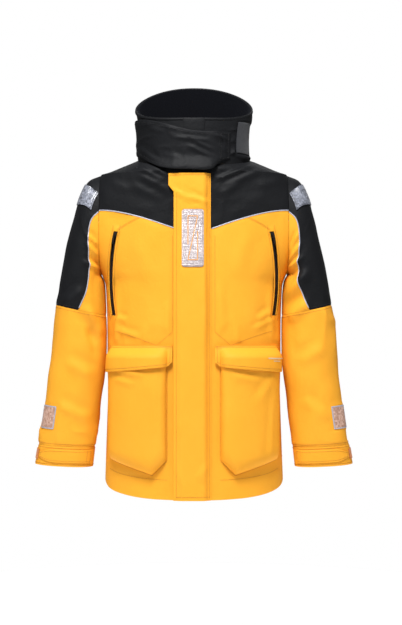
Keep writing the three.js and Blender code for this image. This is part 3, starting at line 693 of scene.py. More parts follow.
@dataclass(frozen=True)
class Prismatic(Finish):
    """Microprismatic vinyl, embossed in cells: pale and glossy, each cell a little brighter or duller.

    Attributes:
        dull: Colour of the dull cells.
        cell: Size of the brighter and duller patches.
    """

    dull: str = "#8E8C96"
    cell: float = 4.0

    def dress(self, face: Surface) -> None:
        """Cells of uneven brightness under a clear glossy face."""
        cells = add_node(face.tree, "ShaderNodeTexVoronoi",
                         {"Vector": face.place, "Scale": spot_scale(self.cell), "Randomness": 0.35}).outputs
        bright = add_node(face.tree, "ShaderNodeSeparateColor", {"Color": cells["Color"]}).outputs[0]
        share = face.ranged(face.product(bright, face.noise(28, 2.0)), {1: 0.1, 2: 0.5})
        face.tint(share, linear(self.dull), linear(self.colour))
        face.emboss(cells["Distance"], 0.25)
        face.settle({"Roughness": 0.28, "Coat Weight": 0.5, "Coat Roughness": 0.12})


@dataclass(frozen=True)
class Retroreflective(Finish):
    """Glass-bead piping: silver grey with a soft, slightly grainy shine."""

    def dress(self, face: Surface) -> None:
        """Bead grain as bump."""
        grain = face.noise(1.2, 2.0)
        face.tint(grain, linear("#9698A6"), linear(self.colour))
        face.emboss(grain, 0.1)
        face.settle({"Roughness": 0.4, "Metallic": 0.15})


@dataclass(frozen=True)
class Looped(Finish):
    """Hook-and-loop tape: dull, with a tangle of tiny loops or rows of hooks.

    Attributes:
        loop: Size of the tangle, drawn coarse enough to show.
        shadow: Brightness between the loops.
    """

    loop: float = 1.8
    shadow: float = 0.45

    def dress(self, face: Surface) -> None:
        """Tangle as bump and colour."""
        tangle = add_node(face.tree, "ShaderNodeTexVoronoi",
                          {"Vector": face.place, "Scale": spot_scale(self.loop)},
                          feature="SMOOTH_F1").outputs["Distance"]
        dark = (*(c * self.shadow for c in linear(self.colour)[:3]), 1.0)
        face.tint(tangle, linear(self.colour), dark)
        face.emboss(tangle, -0.5)
        face.settle({"Roughness": 0.92, "Sheen Weight": 0.2})


@dataclass(frozen=True)
class KnitMesh(Finish):
    """Warp-knitted polyester net of linings and pocket bags: small dark holes in rows between pale threads.

    Attributes:
        hole: Spacing of its holes.
    """

    hole: float = 2.4

    def dress(self, face: Surface) -> None:
        """Rows of holes as darker dips."""
        holes = add_node(face.tree, "ShaderNodeTexVoronoi",
                         {"Vector": face.cloth, "Scale": spot_scale(self.hole), "Randomness": 0.1},
                         voronoi_dimensions="2D").outputs["Distance"]
        share = face.ranged(holes, {1: 0.28, 2: 0.42})
        face.tint(share, linear("#1B1C1F"), linear(self.colour))
        face.emboss(share, 0.3)
        face.settle({"Roughness": 0.85})


@dataclass(frozen=True)
class Moulded(Finish):
    """Injection-moulded part or drawn metal: smooth with a faint texture from its tool.

    Attributes:
        roughness: Of its face.
        metallic: 1 for a metal.
        grain: Size of the tool's texture.
    """

    roughness: float = 0.4
    metallic: float = 0.0
    grain: float = 0.8

    def dress(self, face: Surface) -> None:
        """Tool texture as bump and uneven gloss."""
        grain = face.noise(self.grain, 3.0)
        face.roughen(grain, self.roughness - 0.08, self.roughness + 0.1)
        face.emboss(grain, 0.04)
        face.settle({"Metallic": self.metallic})


YELLOW = ShellCloth("coated_nylon_yellow", "#F0A832", shade="#EBA028", roughness=0.62, crinkle_depth=0.8,
                    gloss=0.16)
BLACK = ShellCloth("coated_nylon_black", "#0E0F11", shade="#131417", roughness=0.6, crinkle_depth=1.1,
                   gloss=0.17)
WRIST_CLOTH = ShellCloth("brushed_nylon_inner_cuff", "#A8570F", shade="#8F480C", roughness=0.7, crinkle=9)
FLEECE = Fleece("polyester_fleece", "#0B0C12")
PATCH = Prismatic("prismatic_vinyl_patch", "#C2B4B4", dull="#988C8E")
SHOULDER_PATCH = Prismatic("prismatic_vinyl_shoulder", "#9599A6", dull="#62656F")
CUFF_PATCH = Prismatic("prismatic_vinyl_cuff", "#D2AE9C", dull="#A9806C")
PIPING = Retroreflective("glass_bead_piping", "#BCBECB")
LOOP_BLACK = Looped("hook_and_loop_grey", "#26282E")
LOOP_ORANGE = Looped("hook_and_loop_orange", "#E07E0C")
NET = KnitMesh("warp_knit_net", "#6F7278")
ZIP_TAPE = ShellCloth("polyurethane_coated_zip_tape", "#1A1416", shade="#161214", roughness=0.42, crinkle=30,
                      crinkle_depth=0.05)
ZIP_NYLON = Moulded("acetal_zip_teeth", "#141416", roughness=0.36)
ZIP_CAST = Moulded("painted_zinc_slider", "#18181B", roughness=0.32, metallic=0.3)
WEBBING = ShellCloth("polyester_tape", "#1C1C1F", shade="#242428", roughness=0.75, thread=1.0)
STEEL = Moulded("dark_steel_wire", "#5E6066", roughness=0.3, metallic=1.0)
# Orange thread made darker than the real thread, so that its stitches paint the thin shade lines along the
# seams of the pouches and flaps.
THREAD_YELLOW_DARKENED_AS_SEAM_SHADE = Moulded("polyester_thread_orange", "#A8600C", roughness=0.6, grain=0.5)
THREAD_BLACK = Moulded("polyester_thread_black", "#0E0E10", roughness=0.6, grain=0.5)
THREAD_PALE = Moulded("polyester_thread_pale", "#D9C9C4", roughness=0.6, grain=0.5)
MARK_YELLOW = Moulded("printed_line_yellow", "#E39A3A", roughness=0.5)
MARK_DARK = Moulded("printed_line_dark", "#2A2A2E", roughness=0.5)
EMBROIDERY = Moulded("pale_embroidery", "#D8C3A2", roughness=0.6)


# ---- Rows along a path, made by Geometry Nodes -------------------------------------------------


class Form(Enum):
    """What a row repeats."""

    STITCH = "stitch"
    TOOTH = "tooth"


def new_group(name: str, sizes: tuple[str, ...]) -> tuple[bpy.types.NodeTree, dict]:
    """Node group that takes geometry, sizes and a material, and gives geometry.

    Args:
        name: The group's name.
        sizes: Names of its number inputs.

    Returns:
        The group and the sockets that it is given.
    """
    tree = bpy.data.node_groups.new(name, "GeometryNodeTree")
    sockets = [("Geometry", "INPUT", "Geometry"), *((size, "INPUT", "Float") for size in sizes),
               ("Material", "INPUT", "Material"), ("Geometry", "OUTPUT", "Geometry")]
    for socket, way, kind in sockets:
        tree.interface.new_socket(socket, in_out=way, socket_type=f"NodeSocket{kind}")
    return tree, add_node(tree, "NodeGroupInput").outputs


def end_group(tree: bpy.types.NodeTree, made: bpy.types.NodeSocket, material: bpy.types.NodeSocket) -> None:
    """Makes a group's instances real, gives them the material and hands them on."""
    real = add_node(tree, "GeometryNodeRealizeInstances", {"Geometry": made})
    dressed = add_node(tree, "GeometryNodeSetMaterial", {"Geometry": real.outputs[0], "Material": material})
    add_node(tree, "NodeGroupOutput", {0: dressed.outputs[0]})


def run_group(piece: bpy.types.Object, tree: bpy.types.NodeTree, values: dict) -> bpy.types.Object:
    """Runs a node group with its inputs' values over a piece, and makes a plain mesh of the result."""
    modifier = piece.modifiers.new(tree.name, "NODES")
    modifier.node_group = tree
    for item in tree.interface.items_tree:
        if item.in_out == "INPUT" and item.name in values:
            modifier[item.identifier] = values[item.name]
    return flattened(piece)


def row_tree(form: Form) -> bpy.types.NodeTree:
    """Node group that lays one form along a path at a pitch, turned to the path's own LIE vectors.

    Args:
        form: A rounded stitch, or a tooth with a flat head.
    """
    name = f"row_of_{form.value}"
    found = bpy.data.node_groups.get(name)
    if found:
        return found
    tree, given = new_group(name, ("Pitch", "Length", "Width"))
    curve = add_node(tree, "GeometryNodeMeshToCurve", {"Mesh": given["Geometry"]})
    even = add_node(tree, "GeometryNodeResampleCurve", {"Curve": curve.outputs[0], "Length": given["Pitch"]},
                    mode="LENGTH")
    size = add_node(tree, "ShaderNodeCombineXYZ",
                    {"X": given["Width"], "Y": given["Width"], "Z": given["Length"]})
    if form is Form.STITCH:
        one = add_node(tree, "GeometryNodeMeshUVSphere", {"Segments": 6, "Rings": 5, "Radius": 0.5})
    else:
        one = add_node(tree, "GeometryNodeMeshCube", {"Vertices Z": 3})
    lie = add_node(tree, "GeometryNodeInputNamedAttribute", {"Name": LIE}, data_type="FLOAT_VECTOR")
    turn = add_node(tree, "FunctionNodeAlignRotationToVector", {"Vector": lie.outputs[0]}, axis="Z")
    laid = add_node(tree, "GeometryNodeInstanceOnPoints",
                    {"Points": even.outputs[0], "Instance": one.outputs[0], "Rotation": turn.outputs[0],
                     "Scale": size.outputs[0]})
    end_group(tree, laid.outputs[0], given["Material"])
    return tree


@dataclass(frozen=True)
class Row:
    """A row of stitches or teeth.

    Attributes:
        form: What it repeats.
        pitch: Spacing in millimetres.
        length: Length of one, along its LIE vector.
        width: Width of one.
        finish: Its material.
    """

    form: Form
    pitch: float
    length: float
    width: float
    finish: Finish

    def along(self, name: str, paths: list[Grid], lies: list[Grid] | None = None) -> bpy.types.Object:
        """One plain mesh of the rows along several paths.

        Args:
            name: The piece's name.
            paths: Points of each path, in millimetres.
            lies: Direction of the piece at each point, or None to follow the path.
        """
        edges, start = [], 0
        for path in paths:
            edges += [(start + k, start + k + 1) for k in range(len(path) - 1)]
            start += len(path)
        mesh = bpy.data.meshes.new(name)
        mesh.from_pydata((np.concatenate(paths) * MM).tolist(), edges, [])
        ways = lies or [unit(np.gradient(path, axis=0)) for path in paths]
        mesh.attributes.new(LIE, "FLOAT_VECTOR", "POINT").data.foreach_set(
            "vector", np.concatenate(ways).astype(np.float32).ravel())
        made = run_group(add_object(name, mesh), row_tree(self.form), {
            "Pitch": self.pitch * MM, "Length": self.length * MM, "Width": self.width * MM,
            "Material": self.finish.material()})
        if self.form is Form.STITCH:
            shade(made.data)
        return made


# These yellow-cloth stitches carry that painted seam shade in their darkened thread.
SEAM_YELLOW = Row(Form.STITCH, 3.4, 2.9, 0.8, THREAD_YELLOW_DARKENED_AS_SEAM_SHADE)
SEAM_BLACK = Row(Form.STITCH, 3.4, 2.9, 0.8, THREAD_BLACK)
SEAM_PATCH = Row(Form.STITCH, 3.0, 2.4, 0.7, THREAD_PALE)
SEAM_SHOULDER = Row(Form.STITCH, 3.2, 2.6, 0.9, THREAD_BLACK)
TOOTH_ROW = Row(Form.TOOTH, 2.5, 2.6, 1.3, ZIP_NYLON)
COIL_ROW = Row(Form.STITCH, 1.6, 2.0, 0.9, ZIP_NYLON)


def sewn(name: str, lines: list[Grid], side: Side = Side.LEFT, row: Row = SEAM_YELLOW) -> bpy.types.Object:
    """Stitches along several lines, with their slot.

    Args:
        name: The piece's name.
        lines: Points of each line, on the wearer's left.
        side: The side of the wearer; the right one is the mirror image.
        row: How the stitches look.
    """
    return row.along(name, [swapped(line, side) for line in lines])


def dress(piece: bpy.types.Object, finish: Finish) -> bpy.types.Object:
    """Gives a piece its one material."""
    piece.data.materials.clear()
    piece.data.materials.append(finish.material())
    return piece


# ---- The jacket's surfaces ---------------------------------------------------------------------


@dataclass(frozen=True)
class Trunk:
    """The body's surface: level sections that a plane cuts at each armhole, and the shoulders' slopes."""

    armhole_x: float = 222.0
    armpit_z: float = -262.0
    shoulder_z: float = -26.0
    armhole_share: float = 0.66
    armhole_power: float = 2.2
    power: float = 2.4
    chest_half: float = 204.0
    waist_half: float = 205.0
    hem_half: float = 214.0
    back_chest: float = 132.0
    back_waist: float = 126.0
    hem_front_z: float = -783.0
    hem_rise: float = 46.0
    hem_round: float = 0.6
    zip_depth: float = 109.4
    zip_lean: float = 0.0493
    front_edge_x: float = 8.5
    neck_half: float = 134.0
    neck_back: float = 95.0
    neck_side_z: float = 10.0
    neck_tilt: float = 22.0
    neck_power: float = 2.15
    yoke_side_z: float = -115.0
    yoke_drop: float = 56.0

    @property
    def hem_side_z(self) -> float:
        """Height of the hem at the side seams."""
        return self.hem_front_z + self.hem_rise

    def front_depth(self, z: Grid) -> Grid:
        """Depth of the front's straight leaning line."""
        return self.zip_depth - self.zip_lean * z

    def half_width(self, z: Grid) -> Grid:
        """Half width of a level section, past the armhole's plane above the armpit."""
        z = np.asarray(z, float)
        middle = (self.hem_front_z + self.armpit_z) / 2
        outline = [(self.hem_front_z - 7, self.hem_half), (middle, self.waist_half),
                   (self.armpit_z - 108, self.chest_half), (self.armpit_z - 38, self.chest_half + 1.5),
                   (self.armpit_z - 18, self.chest_half + 5), (self.armpit_z, self.armhole_x)]
        height = (self.shoulder_z - self.armpit_z) / 2
        part = np.clip(np.abs((z - (self.armpit_z + self.shoulder_z) / 2) / height), 0, 1)
        depth = self.armhole_share * (1 - part**self.armhole_power) ** (1 / self.armhole_power)
        high = self.armhole_x / (1 - depth**self.power) ** (1 / self.power)
        return np.where(z <= self.armpit_z, along(outline, z), high)

    def back_depth(self, z: Grid) -> Grid:
        """Depth of the back."""
        middle = (self.armpit_z + self.shoulder_z) / 2
        return along([(self.hem_front_z, self.back_chest),
                      ((self.hem_front_z + self.armpit_z) / 2, self.back_waist),
                      (self.armpit_z, self.back_chest), (middle, self.back_chest + 2),
                      (self.shoulder_z, self.back_chest - 12)], z)

    @staticmethod
    def oval(angle: Grid, z: Grid, half: Grid, front: Grid, back: Grid, power: float) -> Grid:
        """Points of a superelliptic level section, at an angle from its front middle."""
        depth = np.where(np.cos(angle) > 0, front, back)
        x = half * signed_power(np.sin(angle), 2 / power)
        return stack(x, -depth * signed_power(np.cos(angle), 2 / power), z)

    def neck(self, angle: Grid) -> Grid:
        """Points of the neck seam."""
        z = self.neck_side_z - self.neck_tilt * np.cos(angle)
        front = self.front_depth(self.neck_side_z - self.neck_tilt)
        return self.oval(angle, z, self.neck_half, front, self.neck_back, self.neck_power)

    def point(self, angle: Grid, height: Grid) -> Grid:
        """Points at an angle and a height, which runs on over the shoulder to the neck seam."""
        angle, height = np.broadcast_arrays(np.asarray(angle, float), np.asarray(height, float))
        z = np.minimum(height, self.shoulder_z)
        low = self.oval(angle, z, self.half_width(z), self.front_depth(z), self.back_depth(z), self.power)
        share = np.clip((height - self.shoulder_z) / (self.neck_side_z - self.shoulder_z), 0, None)
        return mix(low, self.neck(angle), share[..., None])

    def seam_angle(self, height: Grid) -> Grid:
        """Largest angle from the middle before the armhole or the side seam."""
        height = np.asarray(height, float)
        inside = (height > self.armpit_z) & (height < self.shoulder_z)
        ratio = np.clip(self.armhole_x / self.half_width(height), 0, 1)
        return np.where(inside, np.arcsin(ratio ** (self.power / 2)), math.pi / 2)

    def angle_at(self, x: Grid, z: Grid) -> Grid:
        """Angle of a place on the front."""
        return np.sign(x) * np.arcsin(np.clip(np.abs(x) / self.half_width(z), 0, 1) ** (self.power / 2))

    def front(self, x: Grid, z: Grid) -> Grid:
        """Points of the front at their x and z."""
        return self.point(self.angle_at(x, z), z)

    def front_normal(self, x: Grid, z: Grid) -> Grid:
        """Normals of the front at their x and z."""
        return unit(np.cross(self.front(x + 0.5, z) - self.front(x - 0.5, z),
                             self.front(x, z + 0.5) - self.front(x, z - 0.5)))

    def hem(self, angle: Grid) -> Grid:
        """Height of the hem."""
        return self.hem_side_z - self.hem_rise * np.abs(np.cos(angle)) ** self.hem_round

    def yoke(self, share: Grid) -> Grid:
        """Height of the yoke seam over the share from the front edge to the armhole."""
        return self.yoke_side_z - self.yoke_drop * (1 - share) ** 2

    def hem_wave(self, x: Grid, z: Grid, seed: int) -> Grid:
        """The loose hem's swing in and out."""
        return 2.4 * Swell(seed, 95, 500).at(x, z) * ease((self.hem_side_z + 110 - z) / 150)


@dataclass(frozen=True)
class Neckline:
    """The collar's surface over the neck seam."""

    trunk: Trunk
    rim_front_z: float = 98.0
    rim_back_z: float = 199.0
    rim_curve: float = 1.53
    bow: float = 5.0
    flare: float = 7.0

    def base(self, angle: Grid) -> Grid:
        """Height of the neck seam."""
        return self.trunk.neck_side_z - self.trunk.neck_tilt * np.cos(angle) + SEAM_GAP

    def rim(self, angle: Grid) -> Grid:
        """Height of the collar's rim."""
        rise = self.rim_back_z - self.rim_front_z
        return self.rim_front_z + rise * ((1 - np.cos(angle)) / 2) ** self.rim_curve

    def at(self, angle: Grid, z: Grid, room: Grid | float = 0.0) -> Grid:
        """Points of the collar at an angle and a height, a room away from it."""
        share = np.clip((z - self.base(angle)) / (self.rim(angle) - self.base(angle)), 0, 1)
        half = self.trunk.neck_half + self.flare * share - self.bow * np.sin(math.pi * share)
        back = self.trunk.neck_back - 10 * share
        front = self.trunk.front_depth(z)
        return self.trunk.oval(angle, z, half + room, front + room, back + room, self.trunk.neck_power)

    def angle_at(self, x: Grid) -> Grid:
        """Angle of a place on the collar's front."""
        return np.sign(x) * np.arcsin((np.abs(x) / self.trunk.neck_half) ** (self.trunk.neck_power / 2))


@dataclass(frozen=True)
class Arm:
    """The sleeve's surface: rings that fan out from the armhole, then down to the cuff."""

    trunk: Trunk
    underarm: float = 455.0
    power: float = 2.2
    seam: float = 5.67
    cuff_seam: float = 8.46
    cuff_end: float = 9.0

    def down(self, share: float) -> float:
        """Height at a share of the underarm's length."""
        return self.trunk.armpit_z - share * self.underarm

    @property
    def outer(self) -> list[tuple[float, float]]:
        """x and z of the outer edge at each station."""
        return [(self.trunk.armhole_x + 0.6, self.trunk.shoulder_z), (253, -41), (273, -79), (286, -125),
                (298, -172),
                (320, self.down(0.031)), (330, self.down(0.233)), (344, self.down(0.501)),
                (361, self.down(0.785)),
                (376, self.down(0.985))]

    @property
    def inner(self) -> list[tuple[float, float]]:
        """x and z of the inner edge at each station."""
        z = self.trunk.armpit_z
        return [(self.trunk.armhole_x + 0.6, z), (222.8, z - 1), (222.8, z - 3), (222.5, z - 7),
                (222, z - 13),
                (218, self.down(0.09)), (212.5, self.down(0.292)), (215, self.down(0.534)),
                (229, self.down(0.802)),
                (239, self.down(1))]

    @staticmethod
    def read(values: list[float], station: Grid) -> Grid:
        """A value at a station, from one value per station."""
        return along(list(enumerate(values)), station)

    def depth(self, station: Grid) -> Grid:
        """Half the sleeve's depth from front to back."""
        return self.read([81, 83, 82, 80, 78, 73, 68, 62, 55, 50], station)

    def forward(self, station: Grid) -> Grid:
        """How far the arm bends forward."""
        return self.read([4, 3, 1, -1, -4, -10, -16, -24, -31, -36], station)

    def edge(self, station: Grid) -> Grid:
        """Angle in degrees of the black panel's edge."""
        return along([(0, 79), (1, 84), (2, 92), (3, 103), (4, 111), (5, 110), (self.seam, 90)], station)

    def middle(self, station: Grid) -> Grid:
        """Middle of the ring at a station."""
        ends = [[self.read([p[k] for p in side], station) for k in (0, 1)] for side in (self.outer,
                                                                                        self.inner)]
        return stack((ends[0][0] + ends[1][0]) / 2, self.forward(station), (ends[0][1] + ends[1][1]) / 2)

    def at(self, degrees: Grid, station: Grid, room: Grid | float = 0.0, share: Grid | float = 1.0) -> Grid:
        """Points at an angle from the outer edge towards the front, and a station."""
        angle = np.asarray(degrees) * DEGREE
        ox, oz = (self.read([p[k] for p in self.outer], station) for k in (0, 1))
        ix, iz = (self.read([p[k] for p in self.inner], station) for k in (0, 1))
        half = np.hypot(ox - ix, oz - iz) / 2
        place = 0.5 + (half * share + room) / half * signed_power(np.cos(angle), 2 / self.power) / 2
        depth = self.depth(station) * share + room
        y = self.forward(station) - depth * signed_power(np.sin(angle), 2 / self.power)
        return stack(mix(ix, ox, place), y, mix(iz, oz, place))

    def normal(self, degrees: Grid, station: Grid) -> Grid:
        """Outward normals at an angle and a station."""
        around = self.at(degrees + 0.5, station) - self.at(degrees - 0.5, station)
        down = self.at(degrees, station + 0.02) - self.at(degrees, station - 0.02)
        normal = unit(np.cross(around, down))
        outward = np.sum(normal * (self.at(degrees, station) - self.middle(station)), axis=-1, keepdims=True)
        return normal * np.sign(outward)


TRUNK = Trunk()
NECK = Neckline(TRUNK)
ARM = Arm(TRUNK)


def beside(z: Grid) -> Grid:
    """How far, from 0 to 1, the body's side and the sleeve lie beside each other at a height."""
    return window(-z, 262, 8, 545, 90)


def side_gap(z: Grid, kept: float = 1.5) -> Grid:
    """Room between the body's side and the sleeve at a height, less what stays open between them."""
    inner = ARM.at(180.0, np.linspace(8, 1, 200))
    return np.maximum(np.interp(z, inner[:, 2], inner[:, 0]) - TRUNK.half_width(z) - kept, 0) * beside(z)


def side_swell(x: Grid, z: Grid) -> Grid:
    """The body's soft swell towards the sleeve."""
    return 0.45 * side_gap(z) * ease((np.abs(x) - 172) / 32)


def trace(points: Pairs, step: float = 4.0) -> tuple[Grid, Grid]:
    """Even points along a line through corners in a plane.

    Args:
        points: The corners.
        step: Largest distance between points.
    """
    made = [np.array(points[:1], float)]
    for a, b in zip(points[:-1], points[1:]):
        a, b = np.array(a, float), np.array(b, float)
        count = max(int(math.ceil(np.linalg.norm(b - a) / step)), 1)
        made.append(a + (b - a) * np.linspace(0, 1, count + 1)[1:, None])
    line = np.concatenate(made)
    return line[:, 0], line[:, 1]


def swapped(path: Grid, side: Side) -> Grid:
    """Points or vectors on the given side of the wearer."""
    return path * np.array([side.value, 1, 1])


@dataclass(frozen=True)
class ChestArc:
    """The circle through three points of the front that a chest zip is bent to."""

    plan: Pairs = ((181, -166), (194, -262), (188, -358))

    def __post_init__(self) -> None:
        """Works out the circle's middle, axis and sweep, and the lean of the front at its middle."""
        a, b, c = (TRUNK.front(x, z) for x, z in self.plan)
        ab, ac = b - a, c - a
        cross = np.cross(ab, ac)
        to = (np.cross(cross, ab) * (ac @ ac) + np.cross(ac, cross) * (ab @ ab)) / (2 * (cross @ cross))
        axis, centre, radius = unit(cross), a + to, float(np.linalg.norm(to))
        first = unit(a - centre)
        second = np.cross(axis, first)
        sweep = math.atan2((c - centre) @ second, (c - centre) @ first)
        x, z = self.plan[1]
        normal = TRUNK.front_normal(x, z)
        mid = first * math.cos(sweep / 2) + second * math.sin(sweep / 2)
        lean = math.atan2(normal @ axis, normal @ mid)
        for name, value in dict(centre=centre, axis=axis, radius=radius, first=first, second=second,
                                sweep=sweep,
                                lean=lean).items():
            object.__setattr__(self, name, value)

    def frame(self, share: Grid) -> tuple[Grid, Grid, Grid]:
        """Places, side vectors and outward vectors at shares of the sweep from its top."""
        turn = (np.atleast_1d(share) * self.sweep)[:, None]
        spoke = self.first * np.cos(turn) + self.second * np.sin(turn)
        out = spoke * math.cos(self.lean) + self.axis * math.sin(self.lean)
        side = -spoke * math.sin(self.lean) + self.axis * math.cos(self.lean)
        return self.centre + spoke * self.radius, side, out

    def edge(self, offset: float, z: Grid) -> Grid:
        """x of the line at a distance beside the arc, towards the side seam if positive."""
        place, side, _ = self.frame(np.linspace(-0.02, 1.02, 40))
        line = place + side * offset * np.sign(side[0, 0])
        order = np.argsort(line[:, 2])
        return np.interp(z, line[order, 2], line[order, 0])


ARC = ChestArc()


# ---- Body panels -------------------------------------------------------------------------------


@dataclass
class Front:
    """One front panel, with its chest zip's slot and the stitched outline of the bag behind it.

    Attributes:
        side: Which of the two it is.
        bag_outline: Lower outline of the bag on the front, inner end first.
        dart: Line of the dart that runs from the yoke to the zip's top.
        hem_stitch: Height of the hem's stitching over its edge.
    """

    side: Side
    bag_outline: Pairs = ((49, -178), (49, -399), (85, -430), (125, -415),
                                                    (178, -398))
    dart: Pairs = ((127, -133), (152, -145), (176, -159))
    hem_stitch: float = 45.0
    @property
    def folds(self) -> list[Fold]:
        """Folds of the panel beside its zip and over its pouch."""
        return {
            Side.LEFT: [Fold((176, -312), (181, -410), 2.6, 7), Fold((150, -370), (176, -352), 1.8, 7),
                        Fold((140, -392), (178, -372), 1.5, 6), Fold((60, -300), (66, -385), 1.4, 9),
                        Fold((120, -180), (100, -260), 1.0, 16)],
            Side.RIGHT: [Fold((178, -318), (181, -440), 2.8, 7), Fold((158, -372), (178, -366), 1.8, 6),
                         Fold((130, -410), (176, -396), 1.6, 7), Fold((58, -330), (62, -392), 1.3, 8),
                         Fold((130, -190), (96, -290), 0.9, 18)],
        }[self.side]

    def relief(self, x: Grid, z: Grid) -> Grid:
        """Height of the folds and swells at places on the front, nothing where other pieces lie on it."""
        seed = 11 if self.side is Side.LEFT else 12
        drape = 2.0 * Swell(seed, 62, 170).at(x, z) + 1.3 * Swell(seed + 3, 34, 60).at(x, z)
        crush = 2.4 * Swell(seed + 5, 46, 58).creases(x, z) * window(-z, 330, 80, 480, 40)
        free = window(x, 46, 14, 206, 10)
        beside_zip = ease((13 - np.abs(x - ARC.edge(0, z))) / 6)
        slot = 1 - beside_zip * window(-z, 150, 12, 372, 12)
        pouch = 1 - ease((x - 52) / 12) * window(-z, 470, 12, 730, 12)
        flap = 1 - 0.8 * ease((x - 44) / 10) * window(-z, 418, 10, 500, 8)
        yoke = ease((TRUNK.yoke(ease(x / 222)) - z) / 22)
        total = drape + crush + folded(self.folds, x, z)
        loose = TRUNK.hem_wave(x, z, seed) * ease((x - 30) / 40) + side_swell(x, z)
        return total * free * slot * pouch * flap * yoke + loose

    def surface(self, x: Grid, z: Grid, lift: float = 0.0) -> Grid:
        """Points on the front with its relief, on the wearer's left."""
        return TRUNK.front(x, z) + TRUNK.front_normal(x, z) * (self.relief(x, z) + lift)[..., None]

    def build(self) -> None:
        """Panel with its slot, stitching and mirror."""
        shares = np.concatenate([np.linspace(0, 1, 45), [1.5, 2.0], np.linspace(2, 3, 9)[1:]])
        heights = np.concatenate([np.linspace(0, 1, 92), np.linspace(1, 2, 45)[1:],
                                  np.linspace(2, 3, 15)[1:]])
        share, height = np.meshgrid(shares, heights)
        u = np.clip(banded(share, 0, 0.86, 0.86, 1), 0, 1)
        bottom, top = -361.0, -163.0
        for _ in range(4):  # the slot's slanted sides depend on the height, which depends on them
            low = TRUNK.hem(u * math.pi / 2)
            high = TRUNK.yoke(u) - SEAM_GAP / 2
            shelf = top - 34 * (1 - u) ** 2
            z = banded(height, low, bottom, shelf, high)
            first, last = TRUNK.angle_at(TRUNK.front_edge_x, z), TRUNK.seam_angle(z) - SEAM_TURN
            slot = [TRUNK.angle_at(ARC.edge(off, z), z) for off in (-SLOT_HALF, SLOT_HALF)]
            angle = banded(share, first, *slot, last)
            u = np.clip((angle - first) / (last - first), 0, 1)
        points = TRUNK.point(angle, z)
        cloth = Sheet(points)
        keep = np.ones((len(heights) - 1, len(shares) - 1), bool)
        rows = (heights[:-1] >= 1) & (heights[1:] <= 2)
        columns = (shares[:-1] >= 1) & (shares[1:] <= 2)
        keep[np.ix_(rows, columns)] = False
        name = f"front_panel_{self.side.label}_cloth"
        relief = self.relief(points[..., 0], z)
        piece = cloth.solid(name, -SHELL, 0, relief, keep=keep, side=self.side)
        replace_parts(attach(dress(piece, YELLOW), "jacket_body"),
                    f"front_panel_{self.side.label}")
        self.stitch()

    def stitch(self) -> None:
        """Rows of stitches: the bag's outline, the dart to the zip, the hem and the zip's two sides."""
        beside_dart = [(x, z - 3) for x, z in self.dart]
        paths = [trace(self.bag_outline), trace(self.dart), trace(beside_dart)]
        x = np.linspace(62, 196, 40)
        paths.append((x, TRUNK.hem(TRUNK.angle_at(x, -750.0)) + self.hem_stitch))
        z = np.linspace(-372, -152, 60)
        for offset in (-11.5, 11.5):
            paths.append((ARC.edge(offset, z), z))
        lines = [self.surface(a, b, 0.25) for a, b in paths]
        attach(sewn(f"front_stitching_{self.side.label}", lines, self.side), "jacket_body")


